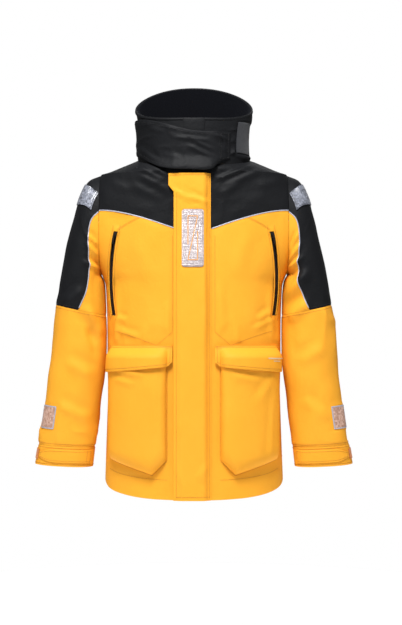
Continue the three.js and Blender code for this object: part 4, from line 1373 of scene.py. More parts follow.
@dataclass
class BodyShell:
    """The back panel, both yokes, their piping and the back's net lining."""

    piping_half: float = 1.3
    piping_rise: float = 1.3
    piping_from_x: float = 41.5

    def build(self) -> None:
        """All of the body's cloth but the fronts' own."""
        self.back()
        for side in Side:
            Front(side).build()
            self.yoke_front(side)
            self.piping(side)
        self.yoke_back()
        self.lining()

    @staticmethod
    def back_drape(x: Grid, z: Grid) -> Grid:
        """The back's long soft swells."""
        return 2.4 * Swell(31, 70, 260).at(x, z) + 1.1 * Swell(33, 40, 90).at(x, z)

    def back(self) -> None:
        """Plain back panel with long soft drape."""
        u, v = np.meshgrid(np.linspace(0, 1, 91), np.linspace(0, 1, 121))
        around = mix(-math.pi / 2, math.pi / 2, u)
        z = mix(TRUNK.hem(around), TRUNK.yoke_side_z - SEAM_GAP / 2, v)
        points = TRUNK.point(math.pi + (2 * u - 1) * (TRUNK.seam_angle(z) - SEAM_TURN), z)
        x = points[..., 0]
        free = ease(np.minimum(u, 1 - u) / 0.05) * ease((1 - v) / 0.04)
        crush = 1.6 * Swell(35, 60, 80).creases(x, z) * window(-z, 300, 120, 560, 120)
        relief = (self.back_drape(x, z) + crush) * free
        relief += TRUNK.hem_wave(x, z, 37) * ease(np.minimum(u, 1 - u) / 0.05) + side_swell(x, z)
        piece = Sheet(points).solid("back_panel_cloth", -SHELL, 0, relief)
        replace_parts(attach(dress(piece, YELLOW), "jacket_body"), "back_panel")
        a = np.linspace(math.pi / 2 + 0.03, 3 * math.pi / 2 - 0.03, 160)
        hem = TRUNK.point(a, TRUNK.hem(a) + 45)
        out = spread(hem)
        wave = TRUNK.hem_wave(hem[:, 0], hem[:, 2], 37)
        near = self.back_drape(hem[:, 0], hem[:, 2])
        rows = [hem + out * (wave + near + 0.5)[:, None]]
        b = np.linspace(math.pi - 0.95, math.pi + 0.95, 120)
        top = TRUNK.point(b, TRUNK.yoke_side_z - 6.0)
        rows.append(top + spread(top) * 0.5)
        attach(sewn("back_stitching", rows), "jacket_body")

    def yoke_relief(self, points: Grid, side: Side) -> Grid:
        """Folds that run down from the collar's foot over the shoulders, on the wearer's left."""
        x, z = points[..., 0], points[..., 2]
        folds = {
            Side.LEFT: (Fold((62, -44), (132, -14), 3.4, 6), Fold((70, -62), (140, -30), 2.8, 8),
                        Fold((66, -78), (104, -58), 2.0, 7), Fold((150, -60), (196, -48), 1.5, 10),
                        Fold((120, -96), (165, -84), 0.9, 12)),
            Side.RIGHT: (Fold((64, -36), (124, -4), 3.6, 6), Fold((70, -50), (128, -16), 3.0, 6),
                         Fold((64, -68), (118, -40), 2.6, 7), Fold((82, -88), (140, -60), 1.6, 9),
                         Fold((150, -66), (190, -54), 1.2, 10)),
        }[side]
        front = ease(-points[..., 1] / 30)
        drape = 1.9 * Swell(41 if side is Side.LEFT else 43, 44, 40).at(x, z)
        drape += 1.8 * Swell(45 if side is Side.LEFT else 49, 30,
                             22).creases(x, z + 0.4 * x) * ease((140 - x) / 60)
        edge = window(x, 20, 16, 221, 16) * ease((z - TRUNK.yoke(ease(x / 222))) / 12)
        neck = ease(np.linalg.norm(points - TRUNK.neck(np.arctan2(x / 134, -points[..., 1] / 110)),
                                   axis=-1) / 14)
        return (folded(folds, x, z) * front + drape) * edge * neck

    def yoke_heights(self, low: Grid, v: Grid) -> Grid:
        """Height over the yoke's own share: rows close up towards the armhole's top."""
        part = 0.62
        high = mix(TRUNK.shoulder_z, TRUNK.neck_side_z, (v - part) / (1 - part))
        return np.where(v > part, high,
                        mix(low + SEAM_GAP / 2, TRUNK.shoulder_z, 1 - (1 - v / part).clip(0) ** 2.0))

    def yoke_front(self, side: Side) -> None:
        """Front yoke from the seam over the shoulder to the neck."""
        u, v = np.meshgrid(np.linspace(0, 1, 51), np.linspace(0, 1, 41))
        height = self.yoke_heights(TRUNK.yoke(u), v)
        over = np.clip((height - TRUNK.shoulder_z) / (TRUNK.neck_side_z - TRUNK.shoulder_z), 0, 1)
        low_edge = TRUNK.angle_at(TRUNK.front_edge_x, np.minimum(height, TRUNK.shoulder_z))
        neck_edge = math.asin((TRUNK.front_edge_x / TRUNK.neck_half) ** (TRUNK.neck_power / 2))
        points = TRUNK.point(mix(mix(low_edge, neck_edge, over), TRUNK.seam_angle(height) - SEAM_TURN, u),
                             height)
        cloth = Sheet(points, CHEST)
        piece = cloth.solid(f"yoke_front_{side.label}_cloth", -SHELL, 0, self.yoke_relief(points, side),
                            side=side)
        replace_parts(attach(dress(piece, BLACK), "jacket_body"), f"yoke_front_{side.label}")

    def yoke_back(self) -> None:
        """Back yoke from shoulder to shoulder."""
        u, v = np.meshgrid(np.linspace(0, 1, 91), np.linspace(0, 1, 37))
        height = self.yoke_heights(TRUNK.yoke_side_z + 0 * u, v)
        points = TRUNK.point(math.pi + (2 * u - 1) * (TRUNK.seam_angle(height) - SEAM_TURN), height)
        free = ease(np.minimum(u, 1 - u) / 0.06) * ease(np.minimum(v, 1 - v) / 0.1)
        relief = 1.5 * Swell(47, 55, 40).at(points[..., 0], points[..., 2]) * free
        piece = Sheet(points, CHEST).solid("yoke_back_cloth", -SHELL, 0, relief)
        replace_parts(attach(dress(piece, BLACK), "jacket_body"), "yoke_back")

    def piping(self, side: Side) -> None:
        """Pale piping in the seam between the front and its yoke."""
        u = np.linspace(0, 1, 90)
        z = TRUNK.yoke(u)
        angle = mix(TRUNK.angle_at(TRUNK.front_edge_x, z), TRUNK.seam_angle(z) - 0.006, u)
        path = TRUNK.point(angle, z)
        seen = path[:, 0] > self.piping_from_x
        angle, z, path = angle[seen], z[seen], path[seen]
        out = unit(np.cross(TRUNK.point(angle + 0.01, z) - path, TRUNK.point(angle, z + 0.5) - path))
        made = ribbon(f"yoke_piping_{side.label}_cord", path, beside_path(path, out), out, self.piping_half,
                      self.piping_rise, foot=0.05, side=side)
        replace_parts(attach(dress(made, PIPING), "jacket_body"), f"yoke_piping_{side.label}")

    def lining(self) -> None:
        """Net lining that hangs inside the back."""
        u, v = np.meshgrid(np.linspace(0, 1, 61), np.linspace(0, 1, 61))
        z = mix(TRUNK.hem_side_z + 30, TRUNK.armpit_z - 45, v)
        points = TRUNK.point(math.pi + (2 * u - 1) * (math.pi / 2 - 0.03), z)
        relief = -1.2 - 1.2 * Swell(51, 40, 150).at(points[..., 0], z)
        piece = Sheet(points).solid("back_lining_net", -SHELL - 4.4, -SHELL - 3.6, relief)
        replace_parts(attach(dress(piece, NET), "jacket_body"), "back_lining")


# ---- Collar ------------------------------------------------------------------------------------


@dataclass
class Collar:
    """The high collar: shell, fleece lining, bound rim, chin guard, loop patch, ring and hanger loop."""

    lining_edge_x: float = 20.0
    fleece: float = 4.0
    binding_half: float = 4.2
    patch_x: tuple[float, float] = (100.0, 131.0)
    patch_z: tuple[float, float] = (20.0, 92.0)

    def relief(self, angle: Grid, z: Grid) -> Grid:
        """Bunched foot, crushed middle and smooth rim."""
        x = TRUNK.neck_half * np.sin(angle)
        rise = z - NECK.base(angle)
        front = np.cos(angle) > -0.2
        foot = 4.6 * Swell(61, 26, 15).creases(x, z + 0.35 * x) * ease(rise / 8) * ease((66 - rise) / 40)
        crush = 2.6 * Swell(63, 42, 30).creases(x, z) + 2.0 * Swell(65, 60, 50).at(x, z)
        flap = 1 - ease((86 - x) / 10) * ease((x + 130) / 10) * front
        patch = 1 - ease((x - 92) / 8) * window(z, 12, 8, 100, 8) * front
        return (foot + crush * ease(rise / 20) * ease((NECK.rim(angle) - z) / 16)) * np.clip(flap, 0.12,
                                                                                             1) * patch

    def ring_grid(self, edge_x: float, top: float, columns: int, rows: int) -> tuple[Grid, Grid, Grid]:
        """Points, angles and heights round the collar from its front opening back to it."""
        edge = float(NECK.angle_at(edge_x))
        u, v = np.meshgrid(np.linspace(0, 1, columns), np.linspace(0, 1, rows))
        angle = mix(edge, 2 * math.pi - edge, u)
        z = mix(NECK.base(angle), NECK.rim(angle) - top, v)
        return NECK.at(angle, z), angle, z

    def build(self) -> None:
        """All of the collar's pieces."""
        points, angle, z = self.ring_grid(TRUNK.front_edge_x, 0, 171, 41)
        piece = Sheet(points).solid("collar_shell_cloth", -SHELL, 0, self.relief(angle, z))
        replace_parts(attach(dress(piece, BLACK), "jacket_body"), "collar_shell")
        points, angle, z = self.ring_grid(self.lining_edge_x, 3, 131, 31)
        soft = -0.8 * Swell(67, 30, 40).at(130 * np.sin(angle), z) - 0.8
        piece = Sheet(points).solid(
            "collar_lining_fleece", -SHELL - LINING_GAP - self.fleece, -SHELL - LINING_GAP, soft)
        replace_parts(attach(dress(piece, FLEECE), "jacket_body"), "collar_lining")
        self.binding()
        self.chin_guard()
        self.loop_patch()
        self.fittings()

    def binding(self) -> None:
        """Rolled binding over the rim."""
        start = float(NECK.angle_at(10))
        angle = np.linspace(start, 2 * math.pi - start, 190)
        rim = NECK.at(angle, NECK.rim(angle) - 4)
        out = spread(rim)
        middle = rim - out * (SHELL + LINING_GAP) / 2
        turn = np.linspace(0, 2 * math.pi, 13)[:-1]
        ahead = unit(np.gradient(middle, axis=0))
        up = unit(np.cross(out, ahead))
        up = up * np.sign(up[:, 2:3])
        thick = (SHELL + LINING_GAP) / 2 + 1.2
        rings = np.stack([middle + out * thick * math.cos(t)
                          + up * self.binding_half * math.sin(t) for t in turn], axis=1)
        made = tube("collar_binding", rings, sharp=60)
        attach(dress(made, BLACK), "jacket_body")

    def chin_guard(self) -> None:
        """Padded guard over the zip's top end."""
        u, v = np.meshgrid(graded(20, 0.4), graded(14, 0.3))
        z = mix(61.0, NECK.rim_front_z - 1, v)
        points = NECK.at(mix(-1, 1, u) * float(NECK.angle_at(24)), z)
        cloth = Sheet(points)
        piece = cloth.solid("chin_guard_cloth", LAY, LAY + SHELL, rounding=cloth.edge_round(u, v, 0.4, 0.3))
        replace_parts(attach(dress(piece, BLACK), "jacket_body"), "chin_guard")

    def loop_patch(self) -> None:
        """Loop tape on the collar beside the face flap's sewn end."""
        u, v = np.meshgrid(graded(12, 0.08), graded(20, 0.05))
        angle = mix(float(NECK.angle_at(self.patch_x[0])), float(NECK.angle_at(self.patch_x[1])), u)
        z = mix(*self.patch_z, v) + 5 * u * (v - 0.3)
        points = NECK.at(angle, z)
        cloth = Sheet(points)
        piece = cloth.solid("collar_loop_patch_tape", LAY, LAY + 1.4,
                            rounding=cloth.edge_round(u, v, 0.05, 0.03))
        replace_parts(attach(dress(piece, LOOP_BLACK), "jacket_body"), "collar_loop_patch")

    def fittings(self) -> None:
        """The adjuster's ring and the hanger loop."""
        dress_node("collar_ring", STEEL)
        piece = softened("hanger_loop", 0.6, "hanger_loop_tape")
        piece.data.uv_layers.new(name=CLOTH_UV)
        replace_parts(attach(dress(piece, WEBBING), "jacket_body"), "hanger_loop")


def dress_node(node: str, finish: Finish) -> None:
    """Gives a CAD node that stays its finish."""
    kept = frame["nodes"][node]
    kept.data.materials.clear()
    kept.data.materials.append(finish.material())


@dataclass
class FaceFlap:
    """The flap across the collar's front, sewn on at the wearer's left."""

    hinge_x: float = 85.0
    end_angle: float = -104 * DEGREE
    room: float = 8.0
    end_room: float = 3.0
    thick: float = 2.5
    top_line: Pairs = ((-140, 103), (-100, 97), (-60, 84), (0, 67), (85, 66))
    bottom_line: Pairs = ((-140, 27), (-110, 3), (-60, -20), (0, -25), (34, -24), (58, -6), (85, 4))
    folds: tuple[Fold, ...] = (
        Fold((-62, 78), (-36, 69), 1.4, 4), Fold((-32, 50), (26, 44), 1.8, 4.5), Fold((-6, 28), (40, 6), 2.0,
                                                                                      5),
        Fold((-124, 32), (-86, -2), 1.4, 6), Fold((4, 40), (44, 22), 1.3, 4), Fold((54, 56), (80, 46), 1.6,
                                                                                   4),
        Fold((56, 34), (80, 14), 1.4, 5), Fold((-100, 76), (-70, 66), 0.9, 5), Fold((-70, 12), (-30, 2), 1.0,
                                                                                    7),
    )

    def surface(self, u: Grid, v: Grid) -> Grid:
        """Points of its inner face."""
        angle = mix(self.end_angle, float(NECK.angle_at(self.hinge_x)), u)
        x = NECK.at(angle, NECK.base(angle))[..., 0]
        z = mix(along(self.bottom_line, x), along(self.top_line, x), v)
        from_hinge, to_end = ease((self.hinge_x - x) / 45), ease((-40 - x) / 80)
        room = mix(mix(LAY, self.room, from_hinge), self.end_room, to_end)
        flare = 12 * ease((12 - z) / 38) * ease((self.hinge_x - 30 - x) / 20)
        points = NECK.at(angle, np.maximum(z, NECK.base(angle)), room + flare)
        points[..., 2] = z
        return points

    def relief(self, points: Grid, u: Grid, v: Grid) -> Grid:
        """Its folds, outwards only, so that it stays clear of the zip."""
        x, z = points[..., 0], points[..., 2]
        soft = 1.7 * Swell(71, 30, 22).creases(x, z) + 0.4 + 0.7 * Swell(73, 48, 36).at(x, z)
        seam = 1.1 * np.exp(-(((x - 64) / 2.2) ** 2)) * ease((z + 12) / 10)
        hem = ease(np.minimum(v, 1 - v) / 0.12) * 0.8 + 0.2
        free = hem * ease((1 - u) / 0.06) * ease(u / 0.02)
        return np.clip(folded(self.folds, x, z) + soft, -0.2, 4) * free - seam

    def build(self) -> None:
        """The flap with its stitched edges."""
        u, v = np.meshgrid(graded(84, 0.012), graded(34, 0.03))
        points = self.surface(u, v)
        cloth = Sheet(points)
        relief = self.relief(points, u, v)
        piece = cloth.solid("face_flap_cloth", 0, self.thick, relief, cloth.edge_round(u, v, 0.012, 0.03))
        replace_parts(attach(dress(piece, BLACK), "face_flap_body"), "face_flap")
        rows = []
        for a, b in (((0.02, 0.075), (0.98, 0.075)), ((0.02, 0.925), (0.98, 0.925)),
                     ((0.02, 0.06), (0.02, 0.94)),
                     ((0.975, 0.06), (0.975, 0.94)), ((0.9, 0.06), (0.9, 0.94)),
                     ((0.912, 0.06), (0.912, 0.94))):
            s, t = np.linspace(a[0], b[0], 80)[None], np.linspace(a[1], b[1], 80)[None]
            at = self.surface(s, t)
            out = spread(at)
            rows.append((at + out * (self.thick + 0.2 + self.relief(at, s, t))[..., None])[0])
        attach(sewn("face_flap_stitching", rows, row=SEAM_BLACK), "face_flap_body")


# ---- Front closure -----------------------------------------------------------------------------


def rounded_patch(width: float, height: float, radius: float, cell: float) -> tuple[Grid, Grid]:
    """Places in a plane of a grid that fills a rectangle with round corners.

    Args:
        width: Of the rectangle.
        height: Of the rectangle.
        radius: Of its corners.
        cell: About how large each cell is.
    """
    v = graded(max(int(height / cell), 4), radius / height)
    z = (v - 0.5) * height
    into = np.clip(radius - (height / 2 - np.abs(z)), 0, radius)
    half = width / 2 - radius + np.sqrt(np.maximum(radius**2 - into**2, 0.02))
    u = np.linspace(-1, 1, max(int(width / cell), 4) + 1)
    return u[None] * half[:, None], np.broadcast_to(z[:, None], (len(z), len(u)))


def cells_tree() -> bpy.types.NodeTree:
    """Node group that raises every face of a sheet into a low cell with sloping sides."""
    name = "raised_cells"
    found = bpy.data.node_groups.get(name)
    if found:
        return found
    tree, given = new_group(name, ("Height", "Top"))
    raised = add_node(tree, "GeometryNodeExtrudeMesh",
                      {"Mesh": given["Geometry"], "Individual": True, "Offset Scale": given["Height"]},
                      mode="FACES")
    top = add_node(tree, "GeometryNodeScaleElements",
                   {"Geometry": raised.outputs["Mesh"], "Selection": raised.outputs["Top"],
                    "Scale": given["Top"]},
                   domain="FACE")
    end_group(tree, top.outputs[0], given["Material"])
    return tree


def single_sheet(name: str, points: Grid) -> bpy.types.Object:
    """Open sheet of faces on a grid, facing away from the jacket's middle."""
    rows, columns = points.shape[:2]
    index = np.arange(rows * columns).reshape(rows, columns)
    quads = np.stack([index[:-1, :-1], index[:-1, 1:], index[1:, 1:], index[1:, :-1]], axis=-1).reshape(-1, 4)
    return make_object(name, points.reshape(-1, 3), quads.tolist(), sharp=80)


VINYL = 0.7  # a reflective patch under its cells
CELL_RISE = 0.35  # height of an embossed cell
CELL_TOP = 0.62  # share of a cell's width that its flat top keeps


def patch_with_cells(name: str, points: Grid, inside: Grid, thick: float, finish: Finish,
                     side: Side = Side.LEFT) -> bpy.types.Object:
    """A reflective patch: its backing and the cells on its face, as one piece.

    Args:
        name: The piece's name.
        points: Grid of its underside, on the wearer's left.
        inside: A place that it faces away from.
        thick: Its thickness under the cells.
        finish: Its material.
        side: The side that it is made for.
    """
    cloth = Sheet(points, inside)
    backing = cloth.solid(name, 0, thick, side=side)
    face = swapped(cloth.raised(thick + 0.02), side)
    normal = swapped(cloth.normal, side)
    sheet = single_sheet(name + "_cells", face)
    if np.sum(np.array([p.normal for p in sheet.data.polygons]) @ normal.mean(axis=(0, 1))) < 0:
        sheet.data.flip_normals()
    run_group(sheet, cells_tree(), {"Height": CELL_RISE * MM, "Top": CELL_TOP, "Material": finish.material()})
    shade(sheet.data, smooth=False)
    dress(backing, finish)
    with bpy.context.temp_override(active_object=backing, selected_editable_objects=[backing, sheet]):
        bpy.ops.object.join()
    return backing


@dataclass
class StormFlap:
    """The flap over the front zip, sewn on at the wearer's left, with its patch and its hook strip."""

    free_x: float = -46.0
    wide_x: float = -58.0
    hinge_x: float = 39.0
    top_z: float = -33.0
    wide_z: float = -61.0
    narrow_z: float = -76.0
    room: float = 11.0
    free_room: float = 4.5
    patch_width: float = 50.0
    patch_height: float = 133.0
    patch_top_z: float = -117.0
    patch_x: float = -2.0
    folds: tuple[Fold, ...] = (
        Fold((-8, -88), (34, -104), 2.2, 6), Fold((-44, -74), (-8, -94), 1.5, 7), Fold((0, -112), (34, -116),
                                                                                       1.2, 5),
        Fold((26, -262), (30, -400), 0.9, 6), Fold((-38, -300), (-34, -480), 0.8, 8),
        Fold((10, -735), (34, -700), 1.4, 9), Fold((-40, -700), (-20, -760), 1.2, 8),
    )

    def under(self, x: Grid) -> Grid:
        """Height of its underside over the front."""
        rise, fall = ease((x - self.free_x) / 22), ease((self.hinge_x - x) / 18)
        return mix(self.free_room, self.room, rise) * fall + LAY * (1 - fall)

    def relief(self, x: Grid, z: Grid) -> Grid:
        """Soft ripples, nothing under the patch, and its sewn edge's stitched-down channel."""
        off_x = np.abs(x - self.patch_x) - self.patch_width / 2
        off_z = np.abs(z - self.patch_top_z + self.patch_height / 2) - self.patch_height / 2
        patch = np.maximum(ease(off_x / 8), ease(off_z / 8))
        soft = 0.9 * Swell(81, 40, 120).at(x, z) + 0.5 * Swell(83, 24, 34).at(x, z) + 0.7
        from_hinge = self.hinge_x - x
        stitched = ((0.9, 9, 2.4), (0.7, 3, 1.8))  # depth, place and half width of each channel
        channel = sum(deep * np.exp(-(((place - from_hinge) / half) ** 2)) for deep, place, half in stitched)
        hem = TRUNK.hem_wave(x, z, 85) * 0.5
        ripples = np.clip(folded(self.folds, x, z) + soft, -0.3, 3.5) * patch
        return ripples * ease(from_hinge / 12) + hem * ease(from_hinge / 30) - channel * ease((-z - 60) / 30)

    def left_x(self, z: Grid) -> Grid:
        """Its free edge, with the wider tongue at its top."""
        return mix(self.free_x, self.wide_x,
                   np.clip((z - self.narrow_z) / (self.wide_z - self.narrow_z), 0, 1))

    @staticmethod
    def front(x: Grid, z: Grid, lift: Grid | float) -> Grid:
        """Points over the front at a height."""
        return TRUNK.front(x, z) + TRUNK.front_normal(x, z) * np.broadcast_to(lift, x.shape)[..., None]

    def build(self) -> None:
        """The flap, its patch, its stitching and the two closure strips."""
        shares = graded(30, 0.03)
        low, high = graded(150, 0.003), np.linspace(0, 1, 22)[1:]
        z = np.concatenate([mix(TRUNK.hem_front_z, self.narrow_z, low), mix(self.narrow_z, self.top_z, high)])
        u, z = np.meshgrid(shares, z)
        x = mix(self.left_x(z), self.hinge_x, u)
        cloth = Sheet(TRUNK.front(x, z), BELLY)
        piece = cloth.solid("storm_flap_cloth", self.under(x), self.under(x) + SHELL, self.relief(x, z),
                            rounded(u / 0.03))
        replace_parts(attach(dress(piece, YELLOW), "storm_flap_body"), "storm_flap")
        self.patch()
        self.stitch()
        self.strips()

    def top(self, x: Grid, z: Grid, lift: float = 0.0) -> Grid:
        """Points on its outer face."""
        return self.front(x, z, self.under(x) + SHELL + self.relief(x, z) + lift)

    @property
    def patch_z(self) -> float:
        """Height of the patch's middle."""
        return self.patch_top_z - self.patch_height / 2

    def on_patch(self, x: Grid, z: Grid, lift: float = 0.0) -> Grid:
        """Points over the flap's face at places in the patch's own plane."""
        x = x + self.patch_x
        return self.front(x, z + self.patch_z, self.under(x) + SHELL + LAY + lift)

    def patch(self) -> None:
        """Reflective patch with plain printed lines in place of any mark."""
        across, along_z = rounded_patch(self.patch_width, self.patch_height, 6, 3.6)
        points = self.on_patch(across, along_z)
        piece = patch_with_cells("storm_flap_patch_prismatic", points, np.array([0, 0, self.patch_z]), VINYL,
                                 PATCH)
        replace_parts(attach(piece, "storm_flap_body"), "storm_flap_patch")
        inset, half = 11.0, self.patch_height / 2 - 16
        lines = [[(-inset, half), (inset, half)], [(-inset, half), (-inset, -half * 0.3)],
                 [(-inset, -half), (inset, -half)], [(inset, -half), (inset, half * 0.3)],
                 [(-inset, -half), (inset, half)]]
        for k, line in enumerate(lines):
            x, z = trace(line)
            path = self.on_patch(x, z, 1.0)
            made = ribbon(f"storm_flap_mark_{k}", path, unit(beside_path(path, AHEAD)), AHEAD, 0.9, 0.25)
            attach(dress(made, MARK_YELLOW), "storm_flap_body")
        edges = rounded_patch(self.patch_width - 3.5, self.patch_height - 3.5, 5, 3.6)
        ring = (np.concatenate([e[0], e[1:, -1], e[-1, ::-1][1:], e[::-1, 0][1:]]) for e in edges)
        path = self.on_patch(*ring, 1.0)
        stitches = sewn("storm_flap_patch_stitching", [path], row=SEAM_PATCH)
        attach(stitches, "storm_flap_body")

    def stitch(self) -> None:
        """Double rows beside the sewn edge, single ones round the free edges."""
        z = np.linspace(TRUNK.hem_front_z + 6, self.top_z - 3, 260)
        rows = [self.top(np.full_like(z, self.hinge_x - off), z, 0.3) for off in (3.0, 9.0)]
        z = np.linspace(TRUNK.hem_front_z + 8, self.narrow_z - 4, 240)
        rows.append(self.top(self.left_x(z) + 7, z, 0.25))
        x = np.linspace(self.free_x + 8, self.hinge_x - 4, 24)
        rows.append(self.top(x, np.full_like(x, TRUNK.hem_front_z + 8), 0.25))
        x = np.linspace(self.wide_x + 5, self.hinge_x - 4, 28)
        rows.append(self.top(x, np.full_like(x, self.top_z - 5), 0.25))
        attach(sewn("storm_flap_stitching", rows), "storm_flap_body")

    def strips(self) -> None:
        """Hook strip under the flap and loop strip on the front."""
        thick = 1.1
        for name, low, high, body in (
            ("storm_flap_hook", -760.0, -100.0, "storm_flap_body"),
            ("storm_flap_loop", -750.0, -190.0, "jacket_body"),
        ):
            u, v = np.meshgrid(graded(6, 0.08), graded(90, 0.004))
            x, z = mix(self.free_x + 4, self.free_x + 16, u), mix(low, high, v)
            cloth = Sheet(TRUNK.front(x, z), BELLY)
            foot = np.full_like(x, LAY) if body == "jacket_body" else self.under(x) - LAY - thick - 0.1
            piece = cloth.solid(name + "_tape", foot, foot + thick,
                                rounding=cloth.edge_round(u, v, 0.06, 0.003))
            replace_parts(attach(dress(piece, LOOP_BLACK), body), name)


@dataclass
class MainZip:
    """The front zip behind the storm flap: tapes, teeth, box, slider, pull and the gutter behind them."""

    top_z: float = 58.0
    bottom_z: float = -765.0
    gap: float = 1.2
    tooth_x: float = 4.0
    tape_x: float = 14.0
    tape_low: float = -4.8
    tape_thick: float = 1.0
    tooth_low: float = -6.0
    tooth_high: float = -2.0

    def at(self, z: Grid, height: Grid | float = 0.0, x: Grid | float = 0.0) -> Grid:
        """Points at a height over the zip's straight line."""
        out = unit(np.array([0, -1, TRUNK.zip_lean]))
        return stack(x + 0 * z, -TRUNK.front_depth(z), z) + out * np.broadcast_to(height, z.shape)[..., None]

    def build(self) -> None:
        """All of the zip's pieces."""
        for side in Side:
            self.half(side)
        for node, name, bevel in (("main_zip_box", "main_zip_box_moulded", 0.8),
                                  ("main_zip_slider", "main_zip_slider_cast", 0.5),
                                  ("main_zip_pull", "main_zip_pull_cast", 0.45)):
            piece = softened(node, bevel, name)
            body = next(b for b, nodes in frame["record"]["behaviour"]["bodies"].items() if node in nodes)
            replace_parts(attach(dress(piece, ZIP_CAST), body), node)
        self.gutter()

    def half(self, side: Side) -> None:
        """One tape with its row of teeth."""
        u, v = np.meshgrid(np.linspace(0, 1, 6), np.linspace(0, 1, 160))
        z = mix(self.bottom_z, self.top_z, v)
        x = mix(self.gap + 0.8, self.tape_x, u)
        tape = closed_cloth(f"main_zip_tape_{side.label}",
                            swapped(self.at(z, self.tape_low + self.tape_thick, x), side),
                            swapped(self.at(z, self.tape_low, x), side))
        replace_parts(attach(dress(tape, ZIP_TAPE), "jacket_body"), f"main_zip_{side.label}")
        step = 1.25 * (1 - side.value) / 2
        z = np.array([self.bottom_z + 2 + step, self.top_z - 2 + step])
        middle = (self.gap + self.tooth_x) / 2
        path = swapped(self.at(z, (self.tooth_low + self.tooth_high) / 2, middle), side)
        lie = np.broadcast_to(np.array([1.0, 0, 0]), path.shape)
        teeth = TOOTH_ROW.along(f"main_zip_teeth_{side.label}", [path], [lie])
        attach(teeth, "jacket_body")

    def gutter(self) -> None:
        """Gutter cloth behind the zip, on its foot along the wearer's left front."""
        section = [(-30, -13.5), (20, -13.5), (27, -10), (27, -4.3), (31, -4.3), (31, -11), (22, -15.5),
                   (-30, -15.5)]
        z = np.linspace(TRUNK.hem_front_z + 14, TRUNK.neck_side_z - TRUNK.neck_tilt - 12, 60)
        rings = np.stack([self.at(z, h, x) for x, h in section], axis=1)
        made = tube("gutter_flap_cloth", rings)
        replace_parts(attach(dress(made, BLACK), "jacket_body"), "gutter_flap")


# ---- Pockets -----------------------------------------------------------------------------------


@dataclass
class ChestPocket:
    """One slanted chest pocket: welts, coil zip, slider, pull and the net bag behind the front.

    Attributes:
        side: Which of the two it is.
        welt_in: How far each welt reaches from the zip's middle.
    """

    side: Side
    welt_in: float = 5.7
    bag_x: float = 49.0
    bag_top_z: float = -150.0
    bag_bottom_z: float = -402.0
    bag_room: float = 6.0

    def build(self) -> None:
        """All of the pocket's pieces."""
        share = np.linspace(0, 1, 60)
        place, across, out = ARC.frame(share)
        across = across * np.sign(across[0, 0])
        for sign, part in ((-1, "inner"), (1, "outer")):
            off = (sign * np.linspace(0.6, SLOT_HALF - 0.3, 5))[None, :, None]
            flat = place[:, None] + across[:, None] * off
            faces = [swapped(flat + out[:, None] * height, self.side) for height in (-0.5, -1.8)]
            tape = closed_cloth(f"chest_zip_tape_{part}_{self.side.label}", *faces)
            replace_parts(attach(dress(tape, ZIP_TAPE), "jacket_body"),
                        f"chest_zip_{part}_{self.side.label}")
            middle = sign * (SLOT_HALF + 1.2 + self.welt_in) / 2
            welt = ribbon(f"chest_zip_welt_{part}_{self.side.label}", place + across * middle, across, out,
                          (SLOT_HALF + 1.2 - self.welt_in) / 2, 1.1, foot=-0.2, side=self.side)
            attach(dress(welt, YELLOW), "jacket_body")
        coil = COIL_ROW.along(f"chest_zip_coil_{self.side.label}",
                              [swapped(place + out * -0.2 + across * s, self.side) for s in (-1.5, 1.5)],
                              [swapped(across, self.side)] * 2)
        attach(coil, "jacket_body")
        for node, body in ((f"chest_zip_slider_{self.side.label}", f"chest_slider_{self.side.label}_body"),
                           (f"chest_zip_pull_{self.side.label}", f"chest_pull_{self.side.label}_body")):
            piece = softened(node, 0.35, node + "_cast")
            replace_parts(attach(dress(piece, ZIP_CAST), body), node)
        self.bag()

    def bag(self) -> None:
        """Shallow net bag behind the front."""
        u, v = np.meshgrid(np.linspace(0, 1, 41), np.linspace(0, 1, 61))
        x0 = mix(self.bag_x, 200, u)
        bottom = self.bag_bottom_z - 26 * ease((x0 - self.bag_x) / 36)
        z = mix(bottom, self.bag_top_z, v)
        outer_x = np.minimum(0.96 * TRUNK.half_width(z), TRUNK.armhole_x - 12)
        points = TRUNK.front(mix(self.bag_x, outer_x, u), z)
        deep = ease(np.minimum(u, 1 - u) * 10) * ease(np.minimum(v, 1 - v) * 10)
        top = -SHELL - 2.6 - 2.8 * ease((u - 0.7) / 0.3) - self.bag_room * deep
        sag = -1.5 * Swell(91, 40, 60).at(points[..., 0], z) * deep
        cloth = Sheet(points)
        piece = cloth.solid(f"chest_pocket_bag_{self.side.label}_net", top - 0.8, top, sag, side=self.side)
        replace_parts(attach(dress(piece, NET), "jacket_body"),
                    f"chest_pocket_bag_{self.side.label}")


